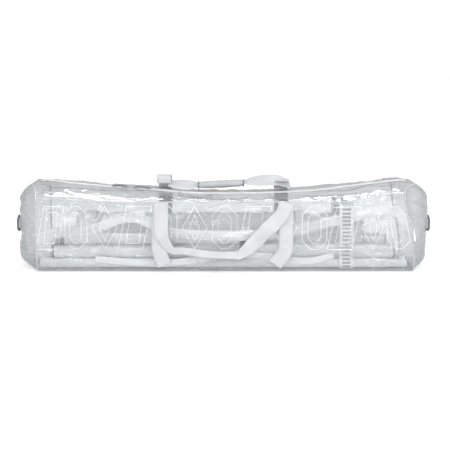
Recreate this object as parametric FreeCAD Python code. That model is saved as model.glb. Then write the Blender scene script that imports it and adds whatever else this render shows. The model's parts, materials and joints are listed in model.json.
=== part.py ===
"""Portable net packed in its clear carry bag.

Millimetres. X runs along the bag, Y towards its back face, and Z up.
The origin is the middle of the base's underside.
"""

import math
import os

import FreeCAD
import Part

V = FreeCAD.Vector
X_AXIS, Y_AXIS, Z_AXIS = V(1, 0, 0), V(0, 1, 0), V(0, 0, 1)

# ---- bag ----
BAG_LENGTH = 1076.0  # between the ends' lower corners, at the middle of the depth
BAG_DEPTH = 240.0
SEAM_HEIGHT = 184.0  # where the sides meet the top
CROWN_MID = 198.0  # the zip's height in the middle of the bag
CROWN_SAG = 30.0  # how much higher it is where its straight run ends
CROWN_INSET = 68.0  # from the end seam to the end of that run
CORNER_RADIUS = 25.0  # along the base
END_BULGE = 9.0  # how far the end panels dome outwards, seen from the front
END_ROUND = 30.0  # and how far back their sides are, seen from above
END_SLANT = 0.46  # the slope from there towards the middle
END_RIM = 3.0  # how far the end panels' rims wrap on to the bag's sides
SIDE_BULGE = 2.5
SHOULDER_DROP = 38.0  # how far the top falls from there to the end panel
FILM = 0.8
BOARD_THICK = 3.0
BOARD_MARGIN = 27.0

# ---- zip ----
TAPE_HALF_WIDTH = 16.0
TAPE_THICK = 0.8
TAPE_EDGE = 1.5  # from the zip's middle to the tape's inner edge
FILM_EDGE = 10.0  # and to the film's
TOOTH_EDGE = 0.9  # and to the tooth row's
TOOTH_REACH = 4.2
TOOTH_OVER, TOOTH_UNDER = 1.3, 0.5  # above and below the film's face
ZIP_INSET = 48.0  # from the end seam to the zip's end
SLIDER_LENGTH, SLIDER_WIDTH = 20.0, 14.0
SLIDER_PLATE = 1.4
SLIDER_CORNER = 4.0
SLIDER_GAP = 0.4  # between the slider and the teeth
SLIDER_X = -250.0  # where the two sliders meet
SLIDER_PITCH = 24.0
PIN_RISE = 3.0  # the pull pin's height over the slider's top plate
PIN_RADIUS = 1.0
PIN_CLEARANCE = 0.06
EYE_RADIUS, EYE_WIDTH = 2.3, 5.0
CHEEK_GAP, CHEEK_THICK = 0.3, 1.4
PULL_THICK = 1.6
PULL_DROOP = 4.5  # degrees below level
LEFT_PULL = (36.0, 20.0)  # length and width
RIGHT_PULL = (42.0, 12.0)

# ---- opening flaps ----
FLAP_LEFT = -124.0
FLAP_RIGHT = 300.0
FLAP_GAP = 0.4
HINGE_GAP = 0.5

# ---- webbing ----
WEB_WIDTH = 38.0
WEB_THICK = 1.8
HANDLE_X = 161.0  # each side of the middle
WEB_BELOW_SEAM = 6.0
# how far each webbing on the sides strays from straight down, and the share of its height where it does
WEB_STRAY = {
    -1: ((0, 1.0), (-4, 0.56), (-7, 0.39), (-2, 0.24), (8, 0.1)),
    1: ((0, 1.0), (1, 0.43), (-2, 0.31), (-14, 0.21), (-27, 0.11)),
}
WELT = 2.6
WELT_HEIGHT = 3.0
STANDOFF = 1.0  # between a handle and what it lies on
GRIP_LEFT, GRIP_RIGHT = -68.0, 54.0
GRIP_MARGIN, GRIP_HEIGHT = 2.0, 20.0  # the grip is that much wider than its webbing
BACK_HANDLE_LIFT = 15.0  # over the crown's lowest point
BACK_HANDLE_Y = 52.0
ARCH_HEIGHT = 24.0
TAB_GAP = 8.0
TAB_HEIGHT = 112.0
TAB_WIDTH = 32.0
RING_WIRE = 2.4
RING_HEIGHT, RING_REACH = 44.0, 26.0
RING_TAPER, RING_CORNER = 9.0, 4.0
LABEL_LENGTH, LABEL_WIDTH, LABEL_THICK = 92.0, 34.0, 1.2
LABEL_X, LABEL_Y = -75.0, -56.0

# ---- net frame ----
BAR_RADIUS = 12.7
BAR_WALL = 1.2
BAR_INSET = 58.0  # from the end seam to the bars' ends
BAR_SIDE = 17.3  # from the side panel to the outer bar
BAR_SPACE = 2.6  # between neighbouring bars
NOSE_RADIUS, NOSE_LENGTH = 10.9, 45.0  # the swaged end
TAPER = 10.0
BUTTON_RADIUS = 3.8
BUTTON_PROUD = 4.5
BUTTON_SETBACK = 22.0
BUTTON_CLEARANCE = 0.1
LEAF = (30.0, 6.0, 0.8)  # length, width and thickness of the button's spring leaf
LEAF_HEIGHT = 4.8  # over the bar's axis
UPRIGHT_RADIUS = 19.0
UPRIGHT_WALL = 1.5
UPRIGHT_INSET = 93.0
CAP_LENGTH, CAP_PLATE = 14.0, 4.0
FOOT_RADIUS = 14.0
FOOT_WALL = 1.5
FOOT_LENGTH = 500.0
FOOT_X = (-190.0, 60.0)  # the middle of the front foot and of the back foot
FOOT_SIDE = 8.0  # how far out from the uprights
SLEEVE = (22.0, 2.5)  # length and wall of the rubber end sleeves
BOSS_RADIUS, BOSS_HEIGHT = 15.0, 12.0
STUD_RADIUS, STUD_CLEARANCE, STUD_DEPTH = 4.0, 0.06, 16.0
KNOB_RADIUS, KNOB_HEIGHT, KNOB_GAP = 11.0, 12.0, 0.5
KNOB_LOBES, LOBE_RADIUS = 5, 4.5
REST = 0.5  # between pieces that lie on each other

# ---- net ----
NET_INSET = 157.0
NET_ROLL = 62.0  # the rolled net's radius, where the feet leave that much room
NET_X = -9.0
BAND_WIDTH, BAND_THICK = 50.0, 1.5
TIE_WIDTH, TIE_THICK, TIE_X = 25.0, 1.5, 190.0
ROD_RADIUS, ROD_GAP = 5.0, 0.5
ROD_INSET = 108.0
STRAP_WIDTH, STRAP_THICK = 27.0, 1.6
STRAP_SIDE = 15.0  # from the side panel to the straps packed behind it
TENSION_WIDTH = 18.0
BUNDLE_X = 320.0
BUNDLE_THICK = 1.8
BUNDLE_SIDE, BUNDLE_RADIUS, BUNDLE_TOP = 9.0, 20.0, 176.0

# ---- what follows from them ----
HALF_LENGTH, HALF_DEPTH = BAG_LENGTH / 2, BAG_DEPTH / 2
CROWN_RUN = HALF_LENGTH - CROWN_INSET
CROWN_END = CROWN_MID + CROWN_SAG
TOP_LINE = CROWN_END + 4.0
TRACK_RADIUS = (CROWN_RUN**2 + CROWN_SAG**2) / (2 * CROWN_SAG)
TRACK_CENTRE_Z = CROWN_MID + TRACK_RADIUS
END_PLANE = HALF_LENGTH - END_ROUND - END_RIM
SHOULDER_Z = CROWN_END - SHOULDER_DROP
ZIP_HALF = HALF_LENGTH - ZIP_INSET
FLOOR = FILM + BOARD_THICK + 0.5 + BUNDLE_THICK + REST
BAR_HALF = HALF_LENGTH - BAR_INSET
BAR_Z = FLOOR + BAR_RADIUS
BAR_PITCH = 2 * BAR_RADIUS + BAR_SPACE
OUTER_BAR_Y = HALF_DEPTH - BAR_SIDE - BAR_RADIUS
INNER_BAR_Y = OUTER_BAR_Y - BAR_PITCH
UPRIGHT_HALF = HALF_LENGTH - UPRIGHT_INSET
UPRIGHT_Y = (OUTER_BAR_Y + INNER_BAR_Y) / 2
NET_HALF = HALF_LENGTH - NET_INSET
ROD_HALF = HALF_LENGTH - ROD_INSET


def seat(radius, lower, y, lower_y, lower_z):
    """The height of a round piece resting on a lower one, off to one side of it."""
    reach = radius + lower + REST
    return lower_z + math.sqrt(reach**2 - (y - lower_y) ** 2)


def clear_height(radius, lower, lower_y, lower_z):
    """How high a round piece on the middle line has to be to clear one at its side."""
    if lower_y >= radius + lower + REST:
        return 0
    return seat(radius, lower, 0, lower_y, lower_z)


UPRIGHT_Z = seat(UPRIGHT_RADIUS, BAR_RADIUS, UPRIGHT_Y, INNER_BAR_Y, BAR_Z)
FOOT_Y = UPRIGHT_Y + FOOT_SIDE
FOOT_OUTER = FOOT_RADIUS + SLEEVE[1]
FOOT_Z = seat(FOOT_OUTER, UPRIGHT_RADIUS, FOOT_Y, UPRIGHT_Y, UPRIGHT_Z)
NET_COVER = max(BAND_THICK, TIE_THICK)
NET_RADIUS = min(NET_ROLL, FOOT_Y - FOOT_OUTER - NET_COVER - REST)
NET_OUTER = NET_RADIUS + NET_COVER
NET_Z = max(
    FLOOR + NET_OUTER,
    clear_height(NET_OUTER, BAR_RADIUS, INNER_BAR_Y, BAR_Z),
    clear_height(NET_OUTER, UPRIGHT_RADIUS, UPRIGHT_Y, UPRIGHT_Z),
    clear_height(NET_OUTER, FOOT_OUTER, FOOT_Y, FOOT_Z),
)


def box(x, y, z):
    """A block from three (low, high) pairs."""
    return Part.makeBox(x[1] - x[0], y[1] - y[0], z[1] - z[0], V(x[0], y[0], z[0]))


def rod(radius, x, y, z):
    """A round bar along X, between a pair of x."""
    return Part.makeCylinder(radius, x[1] - x[0], V(x[0], y, z), X_AXIS)


def post(radius, z, x, y):
    """A round bar along Z, between a pair of z."""
    return Part.makeCylinder(radius, z[1] - z[0], V(x, y, z[0]), Z_AXIS)


def arc(a, through, b):
    return Part.Arc(a, through, b).toShape()


def line(a, b):
    return Part.LineSegment(a, b).toShape()


def rounded_loop(points, radius):
    """A closed path through the points, with its corners rounded."""
    bends = []
    for i, corner in enumerate(points):
        back = (points[i - 1] - corner).normalize()
        on = (points[(i + 1) % len(points)] - corner).normalize()
        half = back.getAngle(on) / 2
        cut = radius / math.tan(half)
        inward = (back + on).normalize()
        middle = corner + inward * (radius / math.sin(half) - radius)
        bends.append((corner + back * cut, middle, corner + on * cut))
    edges = []
    for bend, following in zip(bends, bends[1:] + bends[:1]):
        edges.append(arc(*bend))
        edges.append(line(bend[2], following[0]))
    return Part.Wire(edges)


def face_of(edges):
    return Part.Face(Part.Wire(edges))


def save(name, *shapes):
    """Writes one node, as one solid or as several separate ones."""
    solids = [solid for shape in shapes for solid in shape.Solids]
    result = solids[0] if len(solids) == 1 else Part.makeCompound(solids)
    result.exportStep("parts/" + name + ".step")


def strip_outline(points, widths):
    """A strip's outline along a run of 2-D points, mitred at each bend."""
    left, right = [], []
    for i, (px, pz) in enumerate(points):
        before = points[max(i - 1, 0)]
        after = points[min(i + 1, len(points) - 1)]
        ways = []
        for a, b in ((before, (px, pz)), ((px, pz), after)):
            run = math.hypot(b[0] - a[0], b[1] - a[1])
            if run > 0:
                ways.append(((b[0] - a[0]) / run, (b[1] - a[1]) / run))
        tx = sum(way[0] for way in ways)
        tz = sum(way[1] for way in ways)
        size = math.hypot(tx, tz)
        nx, nz = -tz / size, tx / size
        half = widths[i] / 2 / max(0.75, abs(nx * -ways[0][1] + nz * ways[0][0]))
        left.append((px + nx * half, pz + nz * half))
        right.append((px - nx * half, pz - nz * half))
    return left + right[::-1]


def flat_strip(points, widths, y):
    """A strip lying in an upright plane along X, between a pair of y."""
    outline = [V(px, y[0], pz) for px, pz in strip_outline(points, widths)]
    face = Part.Face(Part.makePolygon(outline + outline[:1]))
    return face.extrude(V(0, y[1] - y[0], 0))


def folded_strip(points, thick, x):
    """A ribbon whose run lies in the YZ plane, between a pair of x."""
    outline = [V(x[0], py, pz) for py, pz in strip_outline(points, [thick] * len(points))]
    face = Part.Face(Part.makePolygon(outline + outline[:1]))
    return face.extrude(V(x[1] - x[0], 0, 0))


def tube(radius, wall, x, y, z):
    return rod(radius, x, y, z).cut(rod(radius - wall, (x[0] - 1, x[1] + 1), y, z))


# ---------------------------------------------------------------- the bag's form
def side_outline():
    """The bag seen from the front."""
    r, h, run = CORNER_RADIUS, HALF_LENGTH, CROWN_RUN
    k = r * (1 - math.sqrt(0.5))  # how far a quarter arc's middle is from its corner
    mid = (r + SHOULDER_Z) / 2
    bend_x = run + 0.72 * (h - run)
    bend_z = SHOULDER_Z + 0.7 * SHOULDER_DROP

    def p(x, z):
        return V(x, 0, z)

    edges = [
        line(p(r - h, 0), p(h - r, 0)),
        arc(p(h - r, 0), p(h - k, k), p(h, r)),
        arc(p(h, r), p(h + END_BULGE, mid), p(h, SHOULDER_Z)),
        arc(p(h, SHOULDER_Z), p(bend_x, bend_z), p(run, CROWN_END)),
        arc(p(run, CROWN_END), p(0, CROWN_MID), p(-run, CROWN_END)),
        arc(p(-run, CROWN_END), p(-bend_x, bend_z), p(-h, SHOULDER_Z)),
        arc(p(-h, SHOULDER_Z), p(-h - END_BULGE, mid), p(-h, r)),
        arc(p(-h, r), p(k - h, k), p(r - h, 0)),
    ]
    return face_of(edges)


def end_outline():
    """The bag seen from its end."""
    r, d, t = CORNER_RADIUS, HALF_DEPTH, TAPE_HALF_WIDTH
    k = r * (1 - math.sqrt(0.5))
    mid = (r + SEAM_HEIGHT) / 2
    bend_y = 0.62 * d
    bend_z = SEAM_HEIGHT + 0.7 * (TOP_LINE - SEAM_HEIGHT)

    def p(y, z):
        return V(0, y, z)

    edges = [
        line(p(r - d, 0), p(d - r, 0)),
        arc(p(d - r, 0), p(d - k, k), p(d, r)),
        arc(p(d, r), p(d + SIDE_BULGE, mid), p(d, SEAM_HEIGHT)),
        arc(p(d, SEAM_HEIGHT), p(bend_y, bend_z), p(t, TOP_LINE)),
        line(p(t, TOP_LINE), p(-t, TOP_LINE)),
        arc(p(-t, TOP_LINE), p(-bend_y, bend_z), p(-d, SEAM_HEIGHT)),
        arc(p(-d, SEAM_HEIGHT), p(-d - SIDE_BULGE, mid), p(-d, r)),
        arc(p(-d, r), p(k - d, k), p(r - d, 0)),
    ]
    return face_of(edges)


def plan_outline():
    """The bag seen from above: its ends are drawn in towards the side seams."""
    wide = HALF_DEPTH + 30  # clear of the bag, so that the slanted sides alone shape it
    seam = HALF_LENGTH - END_ROUND
    edge = seam - END_SLANT * (wide - HALF_DEPTH)
    far = seam + END_SLANT * HALF_DEPTH
    behind = [V(far, 0, 0), V(edge, wide, 0), V(-edge, wide, 0)]
    corners = behind + [V(-corner.x, -corner.y, 0) for corner in behind]
    return Part.Face(Part.makePolygon(corners + corners[:1]))


SIDE, END, PLAN = side_outline(), end_outline(), plan_outline()


def grown(face, by):
    if by == 0:
        return face.copy()
    return face.makeOffset2D(by, 0, False, False, False)


def along_y(face, y):
    moved = face.copy()
    moved.translate(V(0, y[0], 0))
    return moved.extrude(V(0, y[1] - y[0], 0))


def along_x(face, x):
    moved = face.copy()
    moved.translate(V(x[0], 0, 0))
    return moved.extrude(V(x[1] - x[0], 0, 0))


def bag_form(by):
    """The bag's whole form, grown outwards by that much."""
    wide, long, tall = HALF_DEPTH + 60, HALF_LENGTH + 60, TOP_LINE + 60
    form = along_y(grown(SIDE, by), (-wide, wide)).common(along_x(grown(END, by), (-long, long)))
    plan = grown(PLAN, by)
    plan.translate(V(0, 0, -60))
    return form.common(plan.extrude(V(0, 0, tall + 60)))


OUTER, INNER = bag_form(0), bag_form(-FILM)
SKIN = OUTER.cut(INNER)
WIDE, LONG, TALL = HALF_DEPTH + 80, HALF_LENGTH + 80, TOP_LINE + 80


def crown_sheet(low, high, y, x):
    """A sheet following the crown between two heights over the film's face."""
    sheet = along_y(grown(SIDE, high), y).cut(along_y(grown(SIDE, low), (y[0] - 1, y[1] + 1)))
    return sheet.common(box(x, (y[0] - 2, y[1] + 2), (CROWN_MID - 20, TALL)))


def along_track(shape, x):
    """Carries a piece made at the middle of the zip along it to x."""
    moved = shape.copy()
    turn = -math.degrees(math.asin(x / TRACK_RADIUS))
    moved.rotate(V(0, 0, TRACK_CENTRE_Z), Y_AXIS, turn)
    return moved


def make_panels():
    inside = (-END_PLANE, END_PLANE)
    below_hinge = SEAM_HEIGHT - HINGE_GAP / 2
    save("base_panel", SKIN.common(box(inside, (-WIDE, WIDE), (-5, CORNER_RADIUS))))
    side_z = (CORNER_RADIUS, below_hinge)
    save("front_panel", SKIN.common(box(inside, (-WIDE, 0), side_z)))
    save("back_panel", SKIN.common(box(inside, (0, WIDE), side_z)))
    save("end_panel_left", SKIN.common(box((-LONG, -END_PLANE), (-WIDE, WIDE), (-5, TALL))))
    save("end_panel_right", SKIN.common(box((END_PLANE, LONG), (-WIDE, WIDE), (-5, TALL))))
    board_x = (-END_PLANE + BOARD_MARGIN, END_PLANE - BOARD_MARGIN)
    board_y = (-HALF_DEPTH + BOARD_MARGIN, HALF_DEPTH - BOARD_MARGIN)
    save("base_board", box(board_x, board_y, (FILM, FILM + BOARD_THICK)))


def make_top():
    slot = box((-ZIP_HALF, ZIP_HALF), (-FILM_EDGE, FILM_EDGE), (CROWN_MID - 20, TALL))
    roof = SKIN.common(box((-END_PLANE, END_PLANE), (-WIDE, WIDE), (SEAM_HEIGHT, TALL))).cut(slot)
    save("top_left", roof.common(box((-LONG, FLAP_LEFT), (-WIDE, WIDE), (0, TALL))))
    save("top_right", roof.common(box((FLAP_RIGHT, LONG), (-WIDE, WIDE), (0, TALL))))
    flap_x = (FLAP_LEFT + FLAP_GAP, FLAP_RIGHT - FLAP_GAP)
    for name, y in (("front", (-WIDE, 0)), ("back", (0, WIDE))):
        save("flap_" + name, roof.common(box(flap_x, y, (SEAM_HEIGHT, TALL))))


def make_zip():
    spans = {
        "front": ((FLAP_LEFT + FLAP_GAP, FLAP_RIGHT - FLAP_GAP), (-1,)),
        "back": ((FLAP_LEFT + FLAP_GAP, FLAP_RIGHT - FLAP_GAP), (1,)),
        "left": ((-ZIP_HALF, FLAP_LEFT), (-1, 1)),
        "right": ((FLAP_RIGHT, ZIP_HALF), (-1, 1)),
    }
    for name, (x, sides) in spans.items():
        tapes, rows = [], []
        for side in sides:
            tape_y = sorted((side * TAPE_EDGE, side * TAPE_HALF_WIDTH))
            tooth_y = sorted((side * TOOTH_EDGE, side * TOOTH_REACH))
            tape = crown_sheet(0, TAPE_THICK, tape_y, x)
            row = crown_sheet(-TOOTH_UNDER, TOOTH_OVER, tooth_y, x)
            tapes.append(tape)
            rows.append(row.cut(tape))
        save("zip_tape_" + name, *tapes)
        save("zip_teeth_" + name, *rows)
    stops = []
    for side in (-1, 1):
        x = sorted((side * ZIP_HALF, side * (ZIP_HALF + 5)))
        stops.append(crown_sheet(0, TOOTH_OVER + 0.5, (-TOOTH_REACH - 2, TOOTH_REACH + 2), x))
    save("zip_stops", *stops)


def slider_body():
    """A slider at the middle of the zip."""
    h, w = SLIDER_LENGTH / 2, SLIDER_WIDTH / 2
    top = CROWN_MID + TOOTH_OVER + SLIDER_GAP
    under = CROWN_MID - TOOTH_UNDER - SLIDER_GAP
    plates = box((-h, h), (-w, w), (top, top + SLIDER_PLATE)).fuse(
        box((-h, h), (-w, w), (under - SLIDER_PLATE, under))
    )
    neck_half = TOOTH_EDGE - SLIDER_GAP
    body = plates.fuse(box((-3, 3), (-neck_half, neck_half), (under - 0.5, top + 0.5)))
    corners = []
    for edge in body.Edges:
        bounds = edge.BoundBox
        if bounds.ZLength > 1 and bounds.XLength < 0.1 and abs(bounds.Center.x) > h - 1:
            corners.append(edge)
    body = body.makeFillet(SLIDER_CORNER, corners)
    pin_z = top + SLIDER_PLATE + PIN_RISE
    inner = EYE_WIDTH / 2 + CHEEK_GAP
    for side in (-1, 1):
        y = sorted((side * inner, side * (inner + CHEEK_THICK)))
        cheek = box((-2.4, 2.4), y, (top + 0.5, pin_z))
        cheek = cheek.fuse(Part.makeCylinder(2.4, CHEEK_THICK, V(0, y[0], pin_z), Y_AXIS))
        body = body.fuse(cheek)
    pin = Part.makeCylinder(PIN_RADIUS, 2 * inner + 1, V(0, -inner - 0.5, pin_z), Y_AXIS)
    return body.fuse(pin).removeSplitter()


PIN_Z = CROWN_MID + TOOTH_OVER + SLIDER_GAP + SLIDER_PLATE + PIN_RISE


def pull(length, width, side):
    """A pull on the middle of the zip, pointing to that side."""
    eye = Part.makeCylinder(EYE_RADIUS, EYE_WIDTH, V(0, -EYE_WIDTH / 2, PIN_Z), Y_AXIS)
    z = (PIN_Z - PULL_THICK / 2, PIN_Z + PULL_THICK / 2)
    neck = box(sorted((0, side * 12)), (-EYE_WIDTH / 2, EYE_WIDTH / 2), z)
    plate = box(sorted((side * 10, side * length)), (-width / 2, width / 2), z)
    corners = [e for e in plate.Edges if abs(e.BoundBox.ZLength - PULL_THICK) < 0.01]
    plate = plate.makeFillet(3.0, corners)
    hand_x = sorted((side * 14, side * (length - 4)))
    slot = box(hand_x, (-width / 2 + 3.5, width / 2 - 3.5), (z[0] - 1, z[1] + 1))
    shape = eye.fuse(neck).fuse(plate).cut(slot)
    bore = PIN_RADIUS + PIN_CLEARANCE
    shape = shape.cut(Part.makeCylinder(bore, EYE_WIDTH + 2, V(0, -EYE_WIDTH / 2 - 1, PIN_Z), Y_AXIS))
    shape.rotate(V(0, 0, PIN_Z), Y_AXIS, side * PULL_DROOP)
    return shape.removeSplitter()


def make_sliders():
    body = slider_body()
    for name, side, size in (("left", -1, LEFT_PULL), ("right", 1, RIGHT_PULL)):
        x = SLIDER_X + side * SLIDER_PITCH / 2
        save("slider_" + name, along_track(body, x))
        save("pull_" + name, along_track(pull(size[0], size[1], side), x))


def make_welts():
    """The bindings over the seams."""
    thick = bag_form(WELT).cut(OUTER)
    above_ground = (0, TALL)
    ends = []
    for side in (-1, 1):
        x = sorted((side * END_PLANE, side * (END_PLANE - WELT_HEIGHT)))
        ring = thick.common(box(x, (-WIDE, WIDE), above_ground))
        ends.append(ring)
    save("end_bindings", *ends)
    top = SEAM_HEIGHT - HINGE_GAP / 2
    run = END_PLANE - WELT_HEIGHT
    for name, y in (("front", (-WIDE, 0)), ("back", (0, WIDE))):
        band = thick.common(box((-run, run), y, (top - WELT_HEIGHT, top)))
        save("seam_binding_" + name, band)


def make_body_webbing():
    """The handles' webbing, sewn up the sides."""
    layer = along_x(grown(END, WEB_THICK), (-LONG, LONG)).cut(along_x(END, (-LONG, LONG)))
    tall = SEAM_HEIGHT - WEB_BELOW_SEAM
    for name, y in (("front", (-WIDE, 0)), ("back", (0, WIDE))):
        pieces = []
        for side, strays in WEB_STRAY.items():
            run = [(side * HANDLE_X + stray, share * tall) for stray, share in strays]
            pieces.append(layer.common(flat_strip(run, [WEB_WIDTH] * len(run), y)))
        save("body_webbing_" + name, *pieces)


def make_front_handle():
    """The front handle, hanging slack against the front."""
    inner = -(HALF_DEPTH + max(SIDE_BULGE, WELT) + WEB_THICK + STANDOFF)
    h, top = HANDLE_X, SEAM_HEIGHT
    w = WEB_WIDTH
    hanging = [  # x, how far below the seam, and the width there, doubled and turned on edge in the middle
        (-h, 0, w),
        (-h, 79, w),
        (-h + 12, 107, 0.8 * w),
        (-h + 28, 125, 0.7 * w),
        (-h + 56, 126, 0.55 * w),
        (-h + 113, 134, 0.5 * w),
        (h - 131, 137, 0.5 * w),
        (h - 116, 134, 0.6 * w),
        (h - 86, 110, w),
        (h - 33, 56, w),
        (h - 5, 24, w),
        (h, 12, w),
        (h, 0, w),
    ]
    run = [(x, top - drop) for x, drop, _ in hanging]
    widths = [width for _, _, width in hanging]
    save("handle_front", flat_strip(run, widths, (inner - WEB_THICK, inner)))


def make_back_handle():
    """The back handle, laid forward over the top, with its grip."""
    flat = CROWN_MID + BACK_HANDLE_LIFT
    start_y, start_z = HALF_DEPTH + 2.0, SEAM_HEIGHT + 6.0
    y, half = BACK_HANDLE_Y, WEB_WIDTH / 2
    left = [(start_y, start_z), (HALF_DEPTH - 16, flat - 1), (y + 30, flat + 3)]
    for degrees in (-10, 20, 50, 80, 110, 140, 170):
        angle = math.radians(degrees)
        left.append((y + 8 + 16 * math.cos(angle), flat + 8 + (ARCH_HEIGHT - 8) * math.sin(angle)))
    left.append((y - 8, flat))
    right = [(start_y, start_z), (HALF_DEPTH - 16, flat), (y - half, flat)]
    web = folded_strip(left, WEB_THICK, (-HANDLE_X - half, -HANDLE_X + half))
    web = web.fuse(folded_strip(right, WEB_THICK, (HANDLE_X - half, HANDLE_X + half)))
    cross_x = (-HANDLE_X + half - 6, HANDLE_X - half + 6)
    cross = box(cross_x, (y - half, y + half), (flat - WEB_THICK / 2, flat + WEB_THICK / 2))
    web = web.fuse(cross).removeSplitter()
    save("handle_back", web)
    a, b = (WEB_WIDTH + GRIP_MARGIN) / 2, GRIP_HEIGHT / 2
    grip = Part.Face(Part.Wire(Part.Ellipse(V(0, 0, 0), a, b).toShape()))
    grip.rotate(V(0, 0, 0), Z_AXIS, 90)
    grip.rotate(V(0, 0, 0), Y_AXIS, 90)
    grip.translate(V(GRIP_LEFT, y, flat))
    sleeve = grip.extrude(V(GRIP_RIGHT - GRIP_LEFT, 0, 0))
    save("grip", sleeve.cut(web))


def make_label():
    x = (LABEL_X - LABEL_LENGTH / 2, LABEL_X + LABEL_LENGTH / 2)
    y = (LABEL_Y - LABEL_WIDTH / 2, LABEL_Y + LABEL_WIDTH / 2)
    save("label", crown_sheet(0, LABEL_THICK, y, (max(x[0], FLAP_LEFT + 2), x[1])))


def make_tab(name, side):
    """A folded webbing tab on an end panel, and the ring through its fold."""
    fold_x = HALF_LENGTH + END_BULGE + RING_WIRE + 1.0
    r_in, r_out = TAB_GAP / 2, TAB_GAP / 2 + WEB_THICK
    z = (TAB_HEIGHT - TAB_WIDTH / 2, TAB_HEIGHT + TAB_WIDTH / 2)
    outer = post(r_out, z, fold_x, 0).fuse(box((HALF_LENGTH - 8, fold_x), (-r_out, r_out), z))
    hollow = post(r_in, (z[0] - 1, z[1] + 1), fold_x, 0)
    hollow = hollow.fuse(box((HALF_LENGTH - 9, fold_x), (-r_in, r_in), (z[0] - 1, z[1] + 1)))
    tab = outer.cut(hollow).cut(OUTER)
    half = RING_HEIGHT / 2
    corners = [
        V(fold_x, 0, TAB_HEIGHT - half),
        V(fold_x, 0, TAB_HEIGHT + half),
        V(fold_x, -RING_REACH, TAB_HEIGHT + half - RING_TAPER),
        V(fold_x, -RING_REACH, TAB_HEIGHT - half + RING_TAPER),
    ]
    path = rounded_loop(corners, RING_CORNER)
    first = path.Edges[0]
    way = first.tangentAt(first.FirstParameter)
    section = Part.makeCircle(RING_WIRE, first.valueAt(first.FirstParameter), way)
    ring = path.makePipeShell([Part.Wire(section)], True, True)
    if side < 0:
        tab = tab.mirror(V(0, 0, 0), X_AXIS)
        ring = ring.mirror(V(0, 0, 0), X_AXIS)
    save("tab_" + name, tab)
    save("ring_" + name, ring)


# ---------------------------------------------------------------- the net frame
def make_bar(number, y, side):
    """A crossbar with its swaged nose at that side, and its sprung button."""
    plain, tip = -side * BAR_HALF, side * BAR_HALF
    shoulder = tip - side * (NOSE_LENGTH + TAPER)
    neck = tip - side * NOSE_LENGTH

    def turned(big, small):
        body = rod(big, sorted((plain, shoulder)), y, BAR_Z)
        cone = Part.makeCone(big, small, TAPER, V(shoulder, y, BAR_Z), V(side, 0, 0))
        return body.fuse(cone).fuse(rod(small, sorted((neck, tip)), y, BAR_Z))

    bar = turned(BAR_RADIUS, NOSE_RADIUS).cut(turned(BAR_RADIUS - BAR_WALL, NOSE_RADIUS - BAR_WALL))
    button_x = tip - side * BUTTON_SETBACK
    bore = post(BUTTON_RADIUS + BUTTON_CLEARANCE, (BAR_Z, BAR_Z + 2 * BAR_RADIUS), button_x, y)
    save("crossbar_%d" % number, bar.cut(bore))
    top = BAR_Z + NOSE_RADIUS + BUTTON_PROUD
    low = BAR_Z + LEAF_HEIGHT
    button = post(BUTTON_RADIUS, (low, top), button_x, y)
    rim = [e for e in button.Edges if abs(e.BoundBox.ZMin - top) < 0.01 and e.BoundBox.ZLength < 0.01]
    button = button.makeFillet(1.6, rim)
    length, width, thick = LEAF
    leaf_x = sorted((button_x + side * 5, button_x - side * (length - 5)))
    leaf = box(leaf_x, (y - width / 2, y + width / 2), (low - thick, low + 0.2))
    save("snap_button_%d" % number, button.fuse(leaf).removeSplitter())


def make_uprights():
    caps = []
    for name, y in (("front", -UPRIGHT_Y), ("back", UPRIGHT_Y)):
        x = (-UPRIGHT_HALF, UPRIGHT_HALF)
        save("upright_" + name, tube(UPRIGHT_RADIUS, UPRIGHT_WALL, x, y, UPRIGHT_Z))
        for side in (-1, 1):
            end = side * UPRIGHT_HALF
            plate = rod(UPRIGHT_RADIUS, sorted((end, end + side * CAP_PLATE)), y, UPRIGHT_Z)
            inside = sorted((end, end - side * (CAP_LENGTH - CAP_PLATE)))
            plug = rod(UPRIGHT_RADIUS - UPRIGHT_WALL, inside, y, UPRIGHT_Z)
            caps.append(plate.fuse(plug).removeSplitter())
    save("upright_caps", *caps)


def make_foot(name, x, y):
    """A foot bar with its boss, and the star knob screwed into it."""
    half = FOOT_LENGTH / 2
    span = (x - half, x + half)
    foot = rod(FOOT_RADIUS, span, y, FOOT_Z)
    boss_top = FOOT_Z + FOOT_RADIUS + BOSS_HEIGHT
    foot = foot.cut(rod(FOOT_RADIUS - FOOT_WALL, (span[0] - 1, span[1] + 1), y, FOOT_Z))
    boss = post(BOSS_RADIUS, (FOOT_Z, boss_top), x, y)
    boss = boss.cut(rod(FOOT_RADIUS - FOOT_WALL, (x - 40, x + 40), y, FOOT_Z))
    stud_low = boss_top - STUD_DEPTH
    bore = post(STUD_RADIUS + STUD_CLEARANCE, (stud_low - 1, boss_top + 1), x, y)
    save("foot_" + name, foot.fuse(boss).removeSplitter().cut(bore))
    head_low = boss_top + KNOB_GAP
    head = (head_low, head_low + KNOB_HEIGHT)
    knob = post(KNOB_RADIUS, head, x, y).fuse(post(STUD_RADIUS, (stud_low, head_low + 1), x, y))
    for i in range(KNOB_LOBES):
        angle = 2 * math.pi * i / KNOB_LOBES
        lobe_x = x + KNOB_RADIUS * 0.88 * math.cos(angle)
        lobe_y = y + KNOB_RADIUS * 0.88 * math.sin(angle)
        knob = knob.fuse(post(LOBE_RADIUS, head, lobe_x, lobe_y))
    save("knob_" + name, knob.removeSplitter())
    length, wall = SLEEVE
    sleeves = []
    for side, end in ((-1, span[0]), (1, span[1])):
        outer = rod(FOOT_RADIUS + wall, sorted((end + side * wall, end - side * length)), y, FOOT_Z)
        sleeves.append(outer.cut(rod(FOOT_RADIUS, sorted((end, end - side * (length + 1))), y, FOOT_Z)))
    return sleeves


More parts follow.
